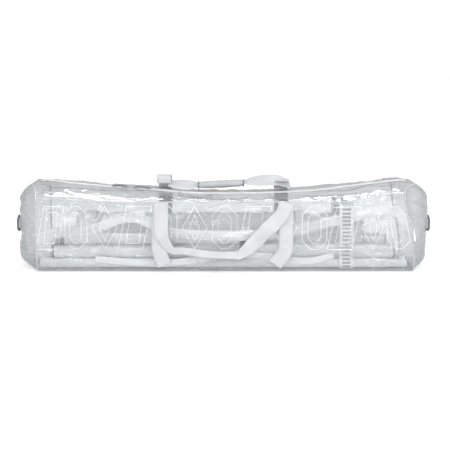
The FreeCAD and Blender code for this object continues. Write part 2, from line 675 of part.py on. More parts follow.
def make_net():
    x = (NET_X - NET_HALF, NET_X + NET_HALF)
    core = ROD_RADIUS + ROD_GAP
    roll = rod(NET_RADIUS, x, 0, NET_Z).cut(rod(core, (x[0] - 1, x[1] + 1), 0, NET_Z))
    save("net_roll", roll)
    band = tube(NET_RADIUS + BAND_THICK, BAND_THICK, (x[0], x[0] + BAND_WIDTH), 0, NET_Z)
    save("net_headband", band)
    tie = tube(NET_RADIUS + TIE_THICK, TIE_THICK, (TIE_X, TIE_X + TIE_WIDTH), 0, NET_Z)
    save("net_tie", tie)
    save("net_rod", rod(ROD_RADIUS, (-ROD_HALF, ROD_HALF), 0, NET_Z))


def packed_strap(name, width, run):
    """A strap packed behind the front panel, along points chosen for this size of bag."""
    y = -(HALF_DEPTH - STRAP_SIDE)
    reach, tall = HALF_LENGTH / 538.0, SEAM_HEIGHT / 184.0
    run = [(x * reach, z * tall) for x, z in run]
    save(name, flat_strip(run, [width] * len(run), (y - STRAP_THICK / 2, y + STRAP_THICK / 2)))


SHOULDER_RUN = [
    (-493, 84),
    (-462, 94),
    (-414, 103),
    (-366, 105),
    (-318, 118),
    (-276, 137),
    (-236, 141),
    (-205, 134),
    (-176, 117),
    (-140, 103),
    (-63, 95),
    (45, 94),
    (120, 97),
    (176, 104),
    (236, 119),
    (288, 133),
    (338, 143),
    (384, 156),
    (424, 161),
    (454, 152),
    (474, 132),
    (484, 106),
    (488, 78),
]
TENSION_RUN = [
    (-335, 32),
    (-262, 25),
    (-196, 20),
    (-139, 21),
    (-47, 34),
    (45, 43),
    (118, 39),
    (180, 29),
    (234, 28),
    (288, 42),
]


def make_bundle_strap():
    """The strap round the whole bundle."""
    half = HALF_DEPTH - BUNDLE_SIDE
    low = FILM + BOARD_THICK + 0.5
    r = BUNDLE_RADIUS
    x = (BUNDLE_X - WEB_WIDTH / 2, BUNDLE_X + WEB_WIDTH / 2)
    outer = box(x, (-half, half), (low, BUNDLE_TOP))
    t = BUNDLE_THICK
    inner = box((x[0] - 1, x[1] + 1), (-half + t, half - t), (low + t, BUNDLE_TOP - t))
    outer = outer.makeFillet(r, [e for e in outer.Edges if e.BoundBox.XLength > 10])
    inner = inner.makeFillet(r - t, [e for e in inner.Edges if e.BoundBox.XLength > 10])
    save("bundle_strap", outer.cut(inner))


os.makedirs("parts", exist_ok=True)
make_panels()
make_top()
make_zip()
make_sliders()
make_welts()
make_body_webbing()
make_front_handle()
make_back_handle()
make_label()
make_tab("left", -1)
make_tab("right", 1)
make_bar(1, -OUTER_BAR_Y, 1)
make_bar(2, -INNER_BAR_Y, -1)
make_bar(3, INNER_BAR_Y, 1)
make_bar(4, OUTER_BAR_Y, -1)
make_uprights()
ends = make_foot("front", FOOT_X[0], -FOOT_Y) + make_foot("back", FOOT_X[1], FOOT_Y)
save("foot_sleeves", *ends)
make_net()
packed_strap("shoulder_strap", STRAP_WIDTH, SHOULDER_RUN)
packed_strap("tension_strap", TENSION_WIDTH, TENSION_RUN)
make_bundle_strap()
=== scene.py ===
# %% [markdown]
# # A portable net packed in its clear bag
#
# The real thing is a metre-long soft bag of clear PVC film. A rolled net, the steel tubes of its
# frame and two straps lie inside, so nearly everything that the eye meets is seen through film.
# The hard parts come ready from the CAD model, and stay where they are. The soft parts are made
# again here, because film, webbing and netting sag, crease and overlap in ways that a solid does not.

# %% Load the frame
import json
import math

import bpy
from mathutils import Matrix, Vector, noise


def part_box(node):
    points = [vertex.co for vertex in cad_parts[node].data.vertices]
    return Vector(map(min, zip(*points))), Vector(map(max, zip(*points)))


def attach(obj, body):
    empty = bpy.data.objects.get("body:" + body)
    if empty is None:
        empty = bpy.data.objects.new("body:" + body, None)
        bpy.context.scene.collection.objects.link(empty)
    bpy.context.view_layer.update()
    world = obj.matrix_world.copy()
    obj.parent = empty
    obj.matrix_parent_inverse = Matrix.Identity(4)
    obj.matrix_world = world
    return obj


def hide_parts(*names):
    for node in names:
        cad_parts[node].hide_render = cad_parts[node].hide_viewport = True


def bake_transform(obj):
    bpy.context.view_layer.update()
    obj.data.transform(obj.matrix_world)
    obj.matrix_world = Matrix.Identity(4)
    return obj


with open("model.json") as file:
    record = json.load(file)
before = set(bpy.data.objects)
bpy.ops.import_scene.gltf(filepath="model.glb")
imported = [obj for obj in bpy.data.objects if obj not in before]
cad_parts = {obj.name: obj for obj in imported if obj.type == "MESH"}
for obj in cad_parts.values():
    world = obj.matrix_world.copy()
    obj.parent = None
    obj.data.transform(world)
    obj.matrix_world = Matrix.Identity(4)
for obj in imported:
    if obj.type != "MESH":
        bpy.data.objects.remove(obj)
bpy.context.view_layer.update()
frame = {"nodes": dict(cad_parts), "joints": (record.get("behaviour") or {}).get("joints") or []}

nodes = frame["nodes"]
pivot = {joint["name"]: joint.get("pos_m") for joint in frame["joints"]}

# %% [markdown]
# ## Meshes from rows of points
#
# Every soft piece here is a grid: a list of rows, each a list of points. Film, webbing and netting
# are all woven or rolled as flat goods, so a grid bent through space is how they are really shaped.
# The grid keeps two measures as UVs, across and along, in metres, and the weaves are drawn on those.


# %% Points become a mesh
def mesh_object(name, verts, faces, material):
    """An object in the scene made of those faces, with that material."""
    mesh = bpy.data.meshes.new(name)
    mesh.from_pydata(verts, [], faces)
    mesh.materials.append(material)
    made = bpy.data.objects.new(name, mesh)
    bpy.context.scene.collection.objects.link(made)
    return made


def grid_piece(name, rows, uvs, material, around=False, along=False, caps=False):
    """A grid from rows of points. around joins each row's ends, along joins the last row to the first."""
    count, wide = len(rows), len(rows[0])
    verts = [point for row in rows for point in row]
    faces, corners = [], []
    for i in range(count if along else count - 1):
        for j in range(wide if around else wide - 1):
            cells = ((i, j), (i, j + 1), (i + 1, j + 1), (i + 1, j))
            faces.append([(a % count) * wide + b % wide for a, b in cells])
            corners += [uvs(a, b) for a, b in cells]
    if caps:
        for i in (0, count - 1):
            ring = [i * wide + j for j in range(wide)]
            faces.append(ring if i else ring[::-1])
            corners += [uvs(i, 0)] * wide
    made = mesh_object(name, verts, faces, material)
    layer = made.data.uv_layers.new(name="cloth")
    for loop, uv in zip(layer.data, corners):
        loop.uv = uv
    made.data.shade_smooth()
    print(f"{name}: {len(verts)} points")
    return made


# %% [markdown]
# ## A ribbon that follows a line
#
# Webbing is a long strip of constant width. It is described by the line that it follows, the
# direction of its width at each point, and its thickness. A section with softly rounded edges is
# swept along the line, which keeps the real selvedge and lets the strap twist as it likes.


# %% Lines and ribbons
def smooth_line(points, step=0.004):
    """Points about a step apart on a smooth curve through the given ones (Catmull-Rom)."""
    points = [Vector(p) for p in points]
    ends = [2 * points[0] - points[1], *points, 2 * points[-1] - points[-2]]
    line = []
    for a, b, c, d in zip(ends, ends[1:], ends[2:], ends[3:]):
        parts = max(1, round((c - b).length / step))
        for k in range(parts):
            t = k / parts
            curve = (2 * a - 5 * b + 4 * c - d) * t**2 + (3 * b - a - 3 * c + d) * t**3
            line.append(0.5 * (2 * b + (c - a) * t + curve))
    return line + [points[-1]]


def tangents(line, closed=False):
    """The unit direction of a line at each of its points."""
    last = len(line) - 1
    before = [line[k - 1] if k or closed else line[0] for k in range(len(line))]
    after = [line[(k + 1) % len(line)] if k < last or closed else line[last] for k in range(len(line))]
    return [(b - a).normalized() for a, b in zip(before, after)]


def ribbon(name, line, across, width, thick, material, closed=False, columns=6):
    """A strip along the line. across is its width's direction. across, width and thick may be lists."""
    def at(value, k):
        return value[k] if isinstance(value, list) else value

    rows, measures, run = [], [], 0.0
    for k, (point, ahead) in enumerate(zip(line, tangents(line, closed))):
        run += (point - line[k - 1]).length if k else 0
        side = at(across, k).normalized()
        up = side.cross(ahead).normalized()
        ring, measure = [], []
        for face in (1, -1):
            for j in range(columns + 1):
                u = face * (2 * j / columns - 1)
                depth = at(thick, k) / 2 * (1 - 0.75 * abs(u) ** 6)
                ring.append(point + side * (u * at(width, k) / 2) + up * (face * depth))
                measure.append((u * at(width, k) / 2, run))
        rows.append(ring)
        measures.append(measure)
    wide = 2 * columns + 2
    return grid_piece(
        name, rows, lambda i, j: measures[i % len(rows)][j % wide], material, True, closed, not closed
    )


def cord_piece(name, lines, radius, material, closed=True, sides=8):
    """Round piping along each of the lines, as one piece."""
    turns = [2 * math.pi * k / sides for k in range(sides)]
    pieces, side = [], None
    for line in lines:
        rows = []
        for point, ahead in zip(line, tangents(line, closed)):
            side = ahead.orthogonal().normalized() if side is None else side
            side = (side - ahead * side.dot(ahead)).normalized()
            other = ahead.cross(side)
            rows.append([point + radius * (side * math.cos(t) + other * math.sin(t)) for t in turns])
        part = grid_piece(
            name, rows, lambda i, j: (j * radius, i * radius), material, True, closed, not closed
        )
        pieces.append(part)
    if len(pieces) > 1:
        with bpy.context.temp_override(active_object=pieces[0], selected_editable_objects=pieces):
            bpy.ops.object.join()
    return pieces[0]


# %% [markdown]
# ## Colours and nodes
#
# Colours are written as the sRGB hex values that a swatch book gives, and turned to the linear
# values that the renderer counts in. One helper adds a node with its settings and its links.


# %% Colour and node helpers
def colour(swatch):
    """An sRGB hex value as a linear colour."""
    parts = [int(swatch[k : k + 2], 16) / 255 for k in (0, 2, 4)]
    return [p / 12.92 if p <= 0.04045 else ((p + 0.055) / 1.055) ** 2.4 for p in parts] + [1.0]


def node(tree, kind, inputs=(), **settings):
    """Adds a shader node. inputs are (socket, value) pairs, where a value may be another node's output."""
    made = tree.nodes.new("ShaderNode" + kind)
    for name, value in settings.items():
        setattr(made, name, value)
    for socket, value in inputs:
        if isinstance(value, bpy.types.NodeSocket):
            tree.links.new(value, made.inputs[socket])
        else:
            made.inputs[socket].default_value = value
    return made


def new_material(name):
    """An empty material, its node tree and its output node."""
    made = bpy.data.materials.new(name)
    made.use_nodes = True
    made.node_tree.nodes.clear()
    return made, made.node_tree, made.node_tree.nodes.new("ShaderNodeOutputMaterial")


# %% [markdown]
# ## Clear PVC film
#
# Calendered soft PVC, 0.8 mm thick, IOR about 1.53. It passes nearly all the light that meets it
# squarely, mirrors the room at a glancing angle, and is milky where it was folded and handled. One
# layer of faces stands for the sheet, so its look is mixed from three things: a clear layer that
# darkens as the path through it grows, a sharp reflection, and haze. The reflection follows Schlick's
# form of the Fresnel law, which is the same from both sides, as it is for a thin sheet. Its share
# straight on is 0.07, since each of the real sheet's two faces reflects about 0.04. The haze scatters
# light both ways, as milky film does: six tenths back from the side it falls on, four tenths through.

# %% The film's material
PVC_SHINE = 0.07  # the share that it reflects straight on
SENT_THROUGH = 0.4  # the share of the haze's light that comes out on the far side
clear_film, tree, out = new_material("calendered_soft_pvc_film")
place = node(tree, "TexCoord").outputs["Object"]
ripple = node(
    tree, "TexNoise", [("Vector", place), ("Scale", 30), ("Detail", 4), ("Distortion", 0.8)]
)
orange_peel = node(
    tree, "Bump", [("Height", ripple.outputs["Fac"]), ("Strength", 0.4), ("Distance", 0.010)]
)
slanted = node(
    tree, "Mapping", [("Vector", place), ("Rotation", (0, 0.5, 0)), ("Scale", (4, 9, 16))]
).outputs[0]
folded = node(
    tree, "TexNoise", [("Vector", slanted), ("Scale", 1), ("Detail", 6), ("Distortion", 1.2)]
).outputs["Fac"]
haze = node(
    tree, "MapRange",
    [("Value", folded), ("From Min", 0.40), ("From Max", 0.64), ("To Min", 0.16), ("To Max", 0.44)],
)
glance = node(tree, "LayerWeight", [("Blend", 0.5), ("Normal", orange_peel.outputs[0])])
facing = glance.outputs["Facing"]
grazing = node(tree, "Math", [(0, facing), (1, 5.0)], operation="POWER").outputs[0]
shine = node(
    tree, "Math", [(0, grazing), (1, 1 - PVC_SHINE), (2, PVC_SHINE)], operation="MULTIPLY_ADD"
)
depth = node(
    tree, "Mix", [("Factor", facing), (6, colour("F2F4F5")), (7, colour("BDC0C2"))], data_type="RGBA"
)
clear = node(tree, "BsdfTransparent", [("Color", depth.outputs[2])])
mirror = node(tree, "BsdfGlossy", [("Roughness", 0.06), ("Normal", orange_peel.outputs[0])])
milk = node(tree, "BsdfDiffuse", [("Color", colour("BFC1C2")), ("Normal", orange_peel.outputs[0])])
passed = node(
    tree, "BsdfTranslucent", [("Color", colour("D2D4D5")), ("Normal", orange_peel.outputs[0])]
)


def mixed_shaders(share, first, second):
    """Two shaders in the film's material as one, with that share of the second."""
    return node(tree, "MixShader", [(0, share), (1, first.outputs[0]), (2, second.outputs[0])])


glossy = mixed_shaders(shine.outputs[0], clear, mirror)
cloudy = mixed_shaders(SENT_THROUGH, milk, passed)
whole = mixed_shaders(haze.outputs[0], glossy, cloudy)
tree.links.new(whole.outputs[0], out.inputs["Surface"])


# %% [markdown]
# ## Woven straps
#
# Polypropylene webbing: flat shiny filaments in a plain weave, about 1.5 mm a pick. That is too fine
# to show from two metres, so it is drawn at 3 mm. Two crossed waves, one along and one across the
# strap, give the over-and-under of the threads, both as bump and as painted shade: the gaps between
# the threads are coloured darker.


# %% Woven materials
RUNG_HALF = 0.011  # how far a ladder strap's rungs reach from its middle


def woven(name, light, dark, pick, sheen, roughness=0.62, ladder=None):
    """A plain weave with that pick, in metres. ladder gives dark rungs down its middle, that far apart."""
    made, tree, out = new_material(name)
    measure = node(tree, "UVMap", uv_map="cloth").outputs[0]
    waves = []
    for way in "XY":
        wave = node(
            tree, "TexWave",
            [("Vector", measure), ("Scale", math.pi / (10 * pick)), ("Distortion", 0.6), ("Detail", 1)],
            bands_direction=way,
        )
        waves.append(wave.outputs["Fac"])
    threads = node(tree, "Math", [(0, waves[0]), (1, waves[1])], operation="MULTIPLY").outputs[0]
    soil = node(tree, "TexNoise", [("Vector", measure), ("Scale", 22), ("Detail", 4)]).outputs["Fac"]
    mixed = node(tree, "Math", [(0, threads), (1, soil)], operation="ADD", use_clamp=True).outputs[0]
    # painted shade: where the crossed waves are low, in the gaps between the threads, the colour goes to the
    # dark one; the soil noise adds random tone
    tone = node(
        tree, "Mix", [("Factor", mixed), (6, colour(dark)), (7, colour(light))], data_type="RGBA"
    ).outputs[2]
    if ladder:
        parts = node(tree, "SeparateXYZ", [(0, measure)])
        rung = node(tree, "Math", [(0, parts.outputs[1]), (1, ladder)], operation="PINGPONG").outputs[0]
        on_rung = node(tree, "Math", [(0, rung), (1, 0.4 * ladder)], operation="GREATER_THAN").outputs[0]
        off_middle = node(tree, "Math", [(0, parts.outputs[0])], operation="ABSOLUTE").outputs[0]
        inner = node(tree, "Math", [(0, off_middle), (1, RUNG_HALF)], operation="LESS_THAN").outputs[0]
        rungs = node(tree, "Math", [(0, on_rung), (1, inner)], operation="MULTIPLY").outputs[0]
        tone = node(
            tree, "Mix", [("Factor", rungs), (6, tone), (7, colour("A6A9AB"))], data_type="RGBA"
        ).outputs[2]
    relief = node(tree, "Bump", [("Height", threads), ("Strength", 0.7), ("Distance", pick / 3)])
    skin = node(
        tree, "BsdfPrincipled",
        [("Base Color", tone), ("Roughness", roughness), ("IOR", 1.49), ("Specular IOR Level", 0.15),
         ("Sheen Weight", sheen), ("Normal", relief.outputs[0])],
    )
    tree.links.new(skin.outputs[0], out.inputs["Surface"])
    return made


webbing = woven("polypropylene_webbing", "CDCFD1", "A0A2A5", 0.003, 0.1)
strap_weave = woven("polyester_strap", "FFFFFF", "F2F3F4", 0.003, 0.35)
ladder_weave = woven("ladder_webbing", "FFFFFF", "E6E8E9", 0.003, 0.2, ladder=0.005)
tape_weave = woven("zip_tape_weave", "E4E6E7", "ABADAF", 0.002, 0.2)
label_weave = woven("ribbed_label_tape", "B4B6B8", "77797B", 0.003, 0.1)
wrap_weave = woven("padded_wrap_fabric", "C2C4C6", "96989A", 0.004, 0.1, 0.75)
net_tape = woven("net_headband_tape", "F3F4F5", "C9CBCC", 0.003, 0.3)
print("woven finishes made")

# %% [markdown]
# ## Moulded, painted and plain hard finishes
#
# The tubes are steel with a powder coat, which has a fine orange-peel skin. The caps, knobs and rings
# are moulded plastic with a spark-eroded texture. The sliders and buttons are bare metal. They differ
# in colour, gloss and the size of their grain, so one recipe takes those as its numbers.


# %% Hard materials
def grained(name, light, dark, grain, roughness, bump=0.3, metallic=0.0, ior=1.5, brushed=1.0):
    """A grained surface. grain is the size of its grain in metres, and brushed stretches it along X."""
    made, tree, out = new_material(name)
    place = node(tree, "TexCoord").outputs["Object"]
    stretched = node(tree, "Mapping", [("Vector", place), ("Scale", (1 / brushed, 1, 1))]).outputs[0]
    fine, broad = (
        node(tree, "TexNoise", [("Vector", stretched), ("Scale", scale), ("Detail", detail)]).outputs["Fac"]
        for scale, detail in ((1 / grain, 3), (18, 5))
    )
    worn = node(tree, "Math", [(0, fine), (1, 0.35), (2, broad)], operation="MULTIPLY_ADD").outputs[0]
    shade = node(tree, "MapRange", [("Value", worn), ("From Min", 0.45), ("From Max", 0.9)]).outputs[0]
    tint = node(
        tree, "Mix", [("Factor", shade), (6, colour(dark)), (7, colour(light))], data_type="RGBA"
    ).outputs[2]
    rough = node(
        tree, "MapRange",
        [("Value", worn), ("From Min", 0.4), ("From Max", 0.9),
         ("To Min", roughness - 0.07), ("To Max", roughness + 0.1)],
    ).outputs[0]
    relief = node(tree, "Bump", [("Height", fine), ("Strength", bump), ("Distance", grain / 4)])
    skin = node(
        tree, "BsdfPrincipled",
        [("Base Color", tint), ("Roughness", rough), ("Metallic", metallic), ("IOR", ior),
         ("Normal", relief.outputs[0])],
    )
    tree.links.new(skin.outputs[0], out.inputs["Surface"])
    return made


powder_coat = grained("light_grey_powder_coat", "F0F1F2", "D4D6D8", 0.0012, 0.42)
moulded_caps = grained("grey_moulded_caps", "76797B", "5A5C5E", 0.0015, 0.55)
dark_knobs = grained("dark_moulded_knobs", "5D6063", "43464A", 0.0015, 0.5)
rubber_sleeves = grained("soft_grey_rubber", "7F8284", "636668", 0.002, 0.7)
ring_nylon = grained("dark_nylon_rings", "5C5E60", "434547", 0.0015, 0.45)
pull_moulding = grained("dark_moulded_pulls", "505356", "383B3E", 0.0015, 0.5)
slider_alloy = grained("die_cast_zinc_sliders", "96989A", "6C6E71", 0.001, 0.35, metallic=1.0)
button_steel = grained("brushed_spring_steel", "C6C8CA", "9A9C9E", 0.001, 0.28, metallic=1.0, brushed=8.0)
board_card = grained("white_base_board", "F2F2F1", "D8D9D9", 0.002, 0.6)
fibre_rod = grained("white_fibreglass_rod", "E8E9EA", "C4C6C8", 0.001, 0.4, brushed=10.0)
piping_pvc = grained("translucent_white_piping", "C2C5C7", "989C9F", 0.003, 0.4)
print_ink = grained("white_screen_print_ink", "DDE0E2", "CBCED0", 0.001, 0.5)
coil_nylon = grained("white_nylon_coil", "E3E5E6", "A9ABAD", 0.0015, 0.4)

FINISHES = {
    powder_coat: [
        "crossbar_1", "crossbar_2", "crossbar_3", "crossbar_4",
        "upright_front", "upright_back", "foot_front", "foot_back",
    ],
    moulded_caps: ["upright_caps"],
    dark_knobs: ["knob_front", "knob_back"],
    rubber_sleeves: ["foot_sleeves"],
    ring_nylon: ["ring_left", "ring_right"],
    pull_moulding: ["pull_left", "pull_right"],
    slider_alloy: ["slider_left", "slider_right", "zip_stops"],
    button_steel: ["snap_button_1", "snap_button_2", "snap_button_3", "snap_button_4"],
    board_card: ["base_board"],
    fibre_rod: ["net_rod"],
}
for finish, names in FINISHES.items():
    for name in names:
        for k in range(len(nodes[name].material_slots)):
            nodes[name].material_slots[k].material = finish
print("hard finishes on", sum(len(names) for names in FINISHES.values()), "parts")

# %% [markdown]
# ## The bag's form
#
# The bag is a long tube of film, closed by a seam panel at each end. Across it has a flat base with
# rounded edges, two nearly upright sides, and a roof that falls from the zip to a seam on each side.
# Its ends stand up where the tubes inside push, and the middle sags, so the roof's height changes
# along the bag. One function gives the section at any place, and every sheet of film is read off it.

# %% Sizes of the bag
SEAM_Z = pivot["flap_front_open"][2]
HALF_DEPTH = -pivot["flap_front_open"][1]
END_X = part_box("front_panel")[1].x
TRACK_Z = pivot["slider_left_run"][2]
CROWN_MID = 0.198  # the zip's height over the floor at the middle
CROWN_RUN = 0.470  # and how far its arc runs each way
CROWN_FALL = 3.12  # how fast it drops beyond that, in metres for each metre squared
TRACK_RADIUS = TRACK_Z - CROWN_MID
ZIP_HALF = -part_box("zip_tape_left")[0].x
BASE_ROUND = 0.025
SIDE_BULGE = 0.0025
ARCH_TOP = 0.232  # the height that the roof's sides rise towards
ROOF_ROUND = 0.004  # how softly they turn into its flat middle
FLAP_LEFT, FLAP_RIGHT = (box.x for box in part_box("flap_front"))
STEP = 0.005  # between two sections of film
HANDLE_X = 0.161  # where the webbing runs, each way from the middle
RIGHT_ANGLE = math.pi / 2
print("the zip's arc has a radius of", round(TRACK_RADIUS, 2), "m")


def clamp(value, low, high):
    """The value, kept between low and high."""
    return min(max(value, low), high)


def smooth(a, b, x):
    """0 up to a, 1 from b on, and smooth between."""
    t = clamp((x - a) / (b - a), 0.0, 1.0)
    return t * t * (3 - 2 * t)


def seam_z(x):
    """The height of the seam between a side and the roof."""
    return SEAM_Z + 0.008 * smooth(-0.30, -0.44, x) + 0.022 * smooth(0.33, 0.463, x)


def crown_z(x):
    """The height of the roof at its middle line."""
    reach = min(abs(x), CROWN_RUN)
    sag = 0.006 * smooth(-0.22, -0.06, x) * smooth(0.40, 0.22, x)
    return TRACK_Z - math.sqrt(TRACK_RADIUS**2 - reach**2) - CROWN_FALL * (abs(x) - reach) ** 2 - sag


def roof(x, turn):
    """(y, z) on the roof, for a turn from 0 at the zip to a right angle at the seam."""
    low, high = seam_z(x), crown_z(x)
    arch = low + (ARCH_TOP - low) * max(math.cos(turn), 0.0) ** 1.2
    blended = -ROOF_ROUND * math.log(math.exp(-arch / ROOF_ROUND) + math.exp(-high / ROOF_ROUND))
    return HALF_DEPTH * math.sin(turn), blended


def side_y(z, top):
    """How far out the side is at a height, measured from the middle."""
    if z < BASE_ROUND:
        return HALF_DEPTH - BASE_ROUND + math.sqrt(BASE_ROUND**2 - (BASE_ROUND - z) ** 2)
    return HALF_DEPTH + SIDE_BULGE * math.sin(math.pi * (z - BASE_ROUND) / (top - BASE_ROUND))


# %% [markdown]
# ## How the film creases
#
# Film that has been rolled and stuffed keeps two kinds of mark: broad slack waves between the places
# where it is held, and a few sharp folds that run out from the corners. The waves come from smooth
# noise and the smaller ones from ridged noise. The sharp folds are listed, each as a line with a
# width and a height, where a real bag of this shape is pulled by its corners and straps.

# %% Waves and folds
FOLDS = {  # (x, z) to (x, z), width and height: on the front
    -1: [
        ((-0.50, 0.118), (-0.39, 0.168), 0.007, 0.0050),
        ((-0.50, 0.100), (-0.36, 0.058), 0.008, -0.0050),
        ((-0.49, 0.060), (-0.34, 0.012), 0.007, 0.0045),
        ((-0.47, 0.150), (-0.42, 0.060), 0.009, -0.0045),
        ((-0.45, 0.085), (-0.30, 0.128), 0.008, 0.0045),
        ((-0.40, 0.030), (-0.30, 0.090), 0.007, -0.0045),
        ((-0.33, 0.165), (-0.20, 0.120), 0.008, 0.0040),
        ((-0.30, 0.040), (-0.20, 0.012), 0.006, 0.0040),
        ((-0.13, 0.150), (-0.03, 0.115), 0.009, -0.0045),
        ((-0.02, 0.165), (0.11, 0.140), 0.008, 0.0025),
        ((0.00, 0.055), (0.12, 0.030), 0.007, -0.0035),
        ((0.19, 0.160), (0.30, 0.125), 0.008, 0.0040),
        ((0.21, 0.080), (0.33, 0.050), 0.008, 0.0040),
        ((0.35, 0.030), (0.49, 0.095), 0.008, -0.0050),
        ((0.36, 0.120), (0.49, 0.185), 0.008, 0.0050),
        ((0.40, 0.012), (0.46, 0.150), 0.009, 0.0045),
        ((0.47, 0.020), (0.495, 0.160), 0.006, -0.0040),
    ],
    1: [
        ((-0.49, 0.130), (-0.33, 0.060), 0.008, 0.0050),
        ((-0.45, 0.030), (-0.30, 0.110), 0.008, -0.0050),
        ((-0.22, 0.160), (-0.05, 0.090), 0.009, -0.0045),
        ((-0.10, 0.030), (0.10, 0.060), 0.008, 0.0040),
        ((0.05, 0.150), (0.20, 0.110), 0.008, 0.0040),
        ((0.25, 0.040), (0.40, 0.120), 0.008, -0.0045),
        ((0.38, 0.160), (0.49, 0.090), 0.008, 0.0050),
        ((0.42, 0.050), (0.49, 0.020), 0.007, 0.0045),
    ],
}


def fold_height(x, v, folds):
    """The height of the listed folds at a point."""
    total = 0.0
    for (ax, av), (bx, bv), width, height in folds:
        along = ((x - ax) * (bx - ax) + (v - av) * (bv - av)) / ((bx - ax) ** 2 + (bv - av) ** 2)
        if -0.2 < along < 1.2:
            place = clamp(along, 0, 1)
            away = math.hypot(x - ax - place * (bx - ax), v - av - place * (bv - av))
            total += height * math.exp(-away / width) * smooth(-0.2, 0.25, along) * smooth(1.2, 0.75, along)
    return total


def slack(x, v, seed, stretch=1.0):
    """Broad waves and ridges in the film, in metres."""
    broad = noise.noise(Vector((x * 8 * stretch, v * 12, seed)))
    ridged = 1 - 2 * abs(noise.noise(Vector((x * 10 + v * 9, v * 24 - x * 10, seed + 5))))
    fine = 1 - 2 * abs(noise.noise(Vector((x * 24 + v * 16, v * 52 - x * 14, seed + 9))))
    return 0.0070 * broad + 0.0050 * (ridged - 0.55) + 0.0016 * (fine - 0.5)


def side_lift(x, z, side):
    """How far the front (-1) or back (1) film stands out from the smooth form."""
    # it is held at the base, the seam and the ends, and flattened by the webbing
    held = smooth(0.002, 0.035, z) * smooth(0.0, 0.022, seam_z(x) - z) * smooth(0.0, 0.03, END_X - abs(x))
    lift = slack(x, z, 3.0 + side) + fold_height(x, z, FOLDS[side])
    strapped = math.exp(-(((abs(x) - HANDLE_X) / 0.024) ** 4))
    most = 0.0015 + 0.0045 * smooth(0.20, 0.26, abs(x))  # less in the middle, where the handle hangs
    return held * (1 - 0.6 * strapped) * clamp(lift, -0.0075, most)


def side_point(x, z, side, above=0.0):
    """A point on the front or back film, or that far outside it."""
    return Vector((x, side * (side_y(z, seam_z(x)) + side_lift(x, z, side) + above), z))


def drawn_in(point):
    """The same point, with the ends' side seams drawn in towards the middle of the bag."""
    outer = smooth(0.36, END_X, abs(point.x)) * smooth(0.35, 0.95, abs(point.y) / HALF_DEPTH)
    if point.x < 0:
        return Vector((point.x + 0.020 * outer, point.y, point.z))
    return Vector((point.x - outer * (0.010 + 0.026 * smooth(0.03, 0.2, point.z)), point.y, point.z))


# %% [markdown]
# ## The film body
#
# One sheet makes the front, the base and the back: it is bought as a roll and folded under the load.
# It is lofted from sections 5 mm apart, so the waves and folds are real geometry, and they bend the
# reflections as the film does. It rides on the bag and stands for three CAD panels.


# %% Front, base and back
SIDE_PARTS, CORNER_PARTS, BASE_PARTS = 34, 6, 24


def body_section(x):
    """Points round the film body from the front seam, under the base, to the back seam."""
    top = seam_z(x)
    heights = [top - (top - BASE_ROUND) * k / SIDE_PARTS for k in range(SIDE_PARTS)]
    heights += [BASE_ROUND * (1 - math.sin(RIGHT_ANGLE * k / CORNER_PARTS)) for k in range(CORNER_PARTS)]
    front = [side_point(x, z, -1) for z in heights]
    back = [side_point(x, z, 1) for z in heights]
    flat = HALF_DEPTH - BASE_ROUND
    base = [Vector((x, -flat + 2 * flat * k / BASE_PARTS, 0.0)) for k in range(BASE_PARTS + 1)]
    return front + base + back[::-1]


def places(start, end, step=STEP):
    """Numbers from start to end, about a step apart."""
    count = max(1, round(abs(end - start) / step))
    return [start + (end - start) * k / count for k in range(count + 1)]


def film_piece(name, rows):
    """A sheet of film from rows of points."""
    rows = [[drawn_in(point) for point in row] for row in rows]
    return grid_piece(name, rows, lambda i, j: (j * STEP, i * STEP), clear_film)


body = film_piece("film_body", [body_section(x) for x in places(-END_X, END_X)])
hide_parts("front_panel", "back_panel", "base_panel")
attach(body, "bag")

# %% [markdown]
# ## The film roof
#
# The zip splits the roof into a front and a back sheet. Where the zip is open the two lift as flaps,
# and beyond its ends they stay. Each sheet is cut once more across the middle of the flaps, and both
# halves are left in place.

# %% Front and back roof
SLOT_HALF = 0.010
SPLIT_X = (FLAP_LEFT + FLAP_RIGHT) / 2


def roof_lift(x, share, side):
    """How far the roof film stands off its smooth form. share runs from 0 at the zip to 1 at the seam."""
    held = smooth(0.0, 0.2, share) * smooth(1.0, 0.85, share) * smooth(0.0, 0.03, END_X - abs(x))
    v = share * 0.13
    lift = 1.1 * slack(x, v, 11.0 + side, 0.7)
    sag = -0.004 * math.sin(math.pi * share) * smooth(0.42, 0.25, abs(x))
    return held * clamp(lift + sag, -0.009, 0.005)


def roof_point(x, share, side, above=0.0):
    """A point on the roof film, or that far above it."""
    inner = SLOT_HALF * smooth(ZIP_HALF + 0.003, ZIP_HALF - 0.003, abs(x))
    first = math.asin(inner / HALF_DEPTH)
    turn = first + share * (RIGHT_ANGLE - first)
    y, z = roof(x, turn)
    y2, z2 = roof(x, min(turn + 0.01, RIGHT_ANGLE))
    y1, z1 = roof(x, max(turn - 0.01, 0.0))
    out = Vector((0, z1 - z2, y2 - y1)).normalized()
    out.y = abs(out.y)
    spot = Vector((0, y, z)) + out * (roof_lift(x, share, side) + above)
    return Vector((x, side * spot.y, spot.z))


def over_crown(x, y, above=0.0):
    """A point on the roof at that y, or that far above it."""
    first = math.asin(SLOT_HALF / HALF_DEPTH)
    turn = math.asin(abs(y) / HALF_DEPTH)
    share = max((turn - first) / (RIGHT_ANGLE - first), 0.0)
    z = roof(x, turn)[1] + roof_lift(x, share, -1 if y < 0 else 1)
    return Vector((x, y, z + above))


def bend(piece):
    """Bakes the piece's placement into its points."""
    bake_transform(piece)


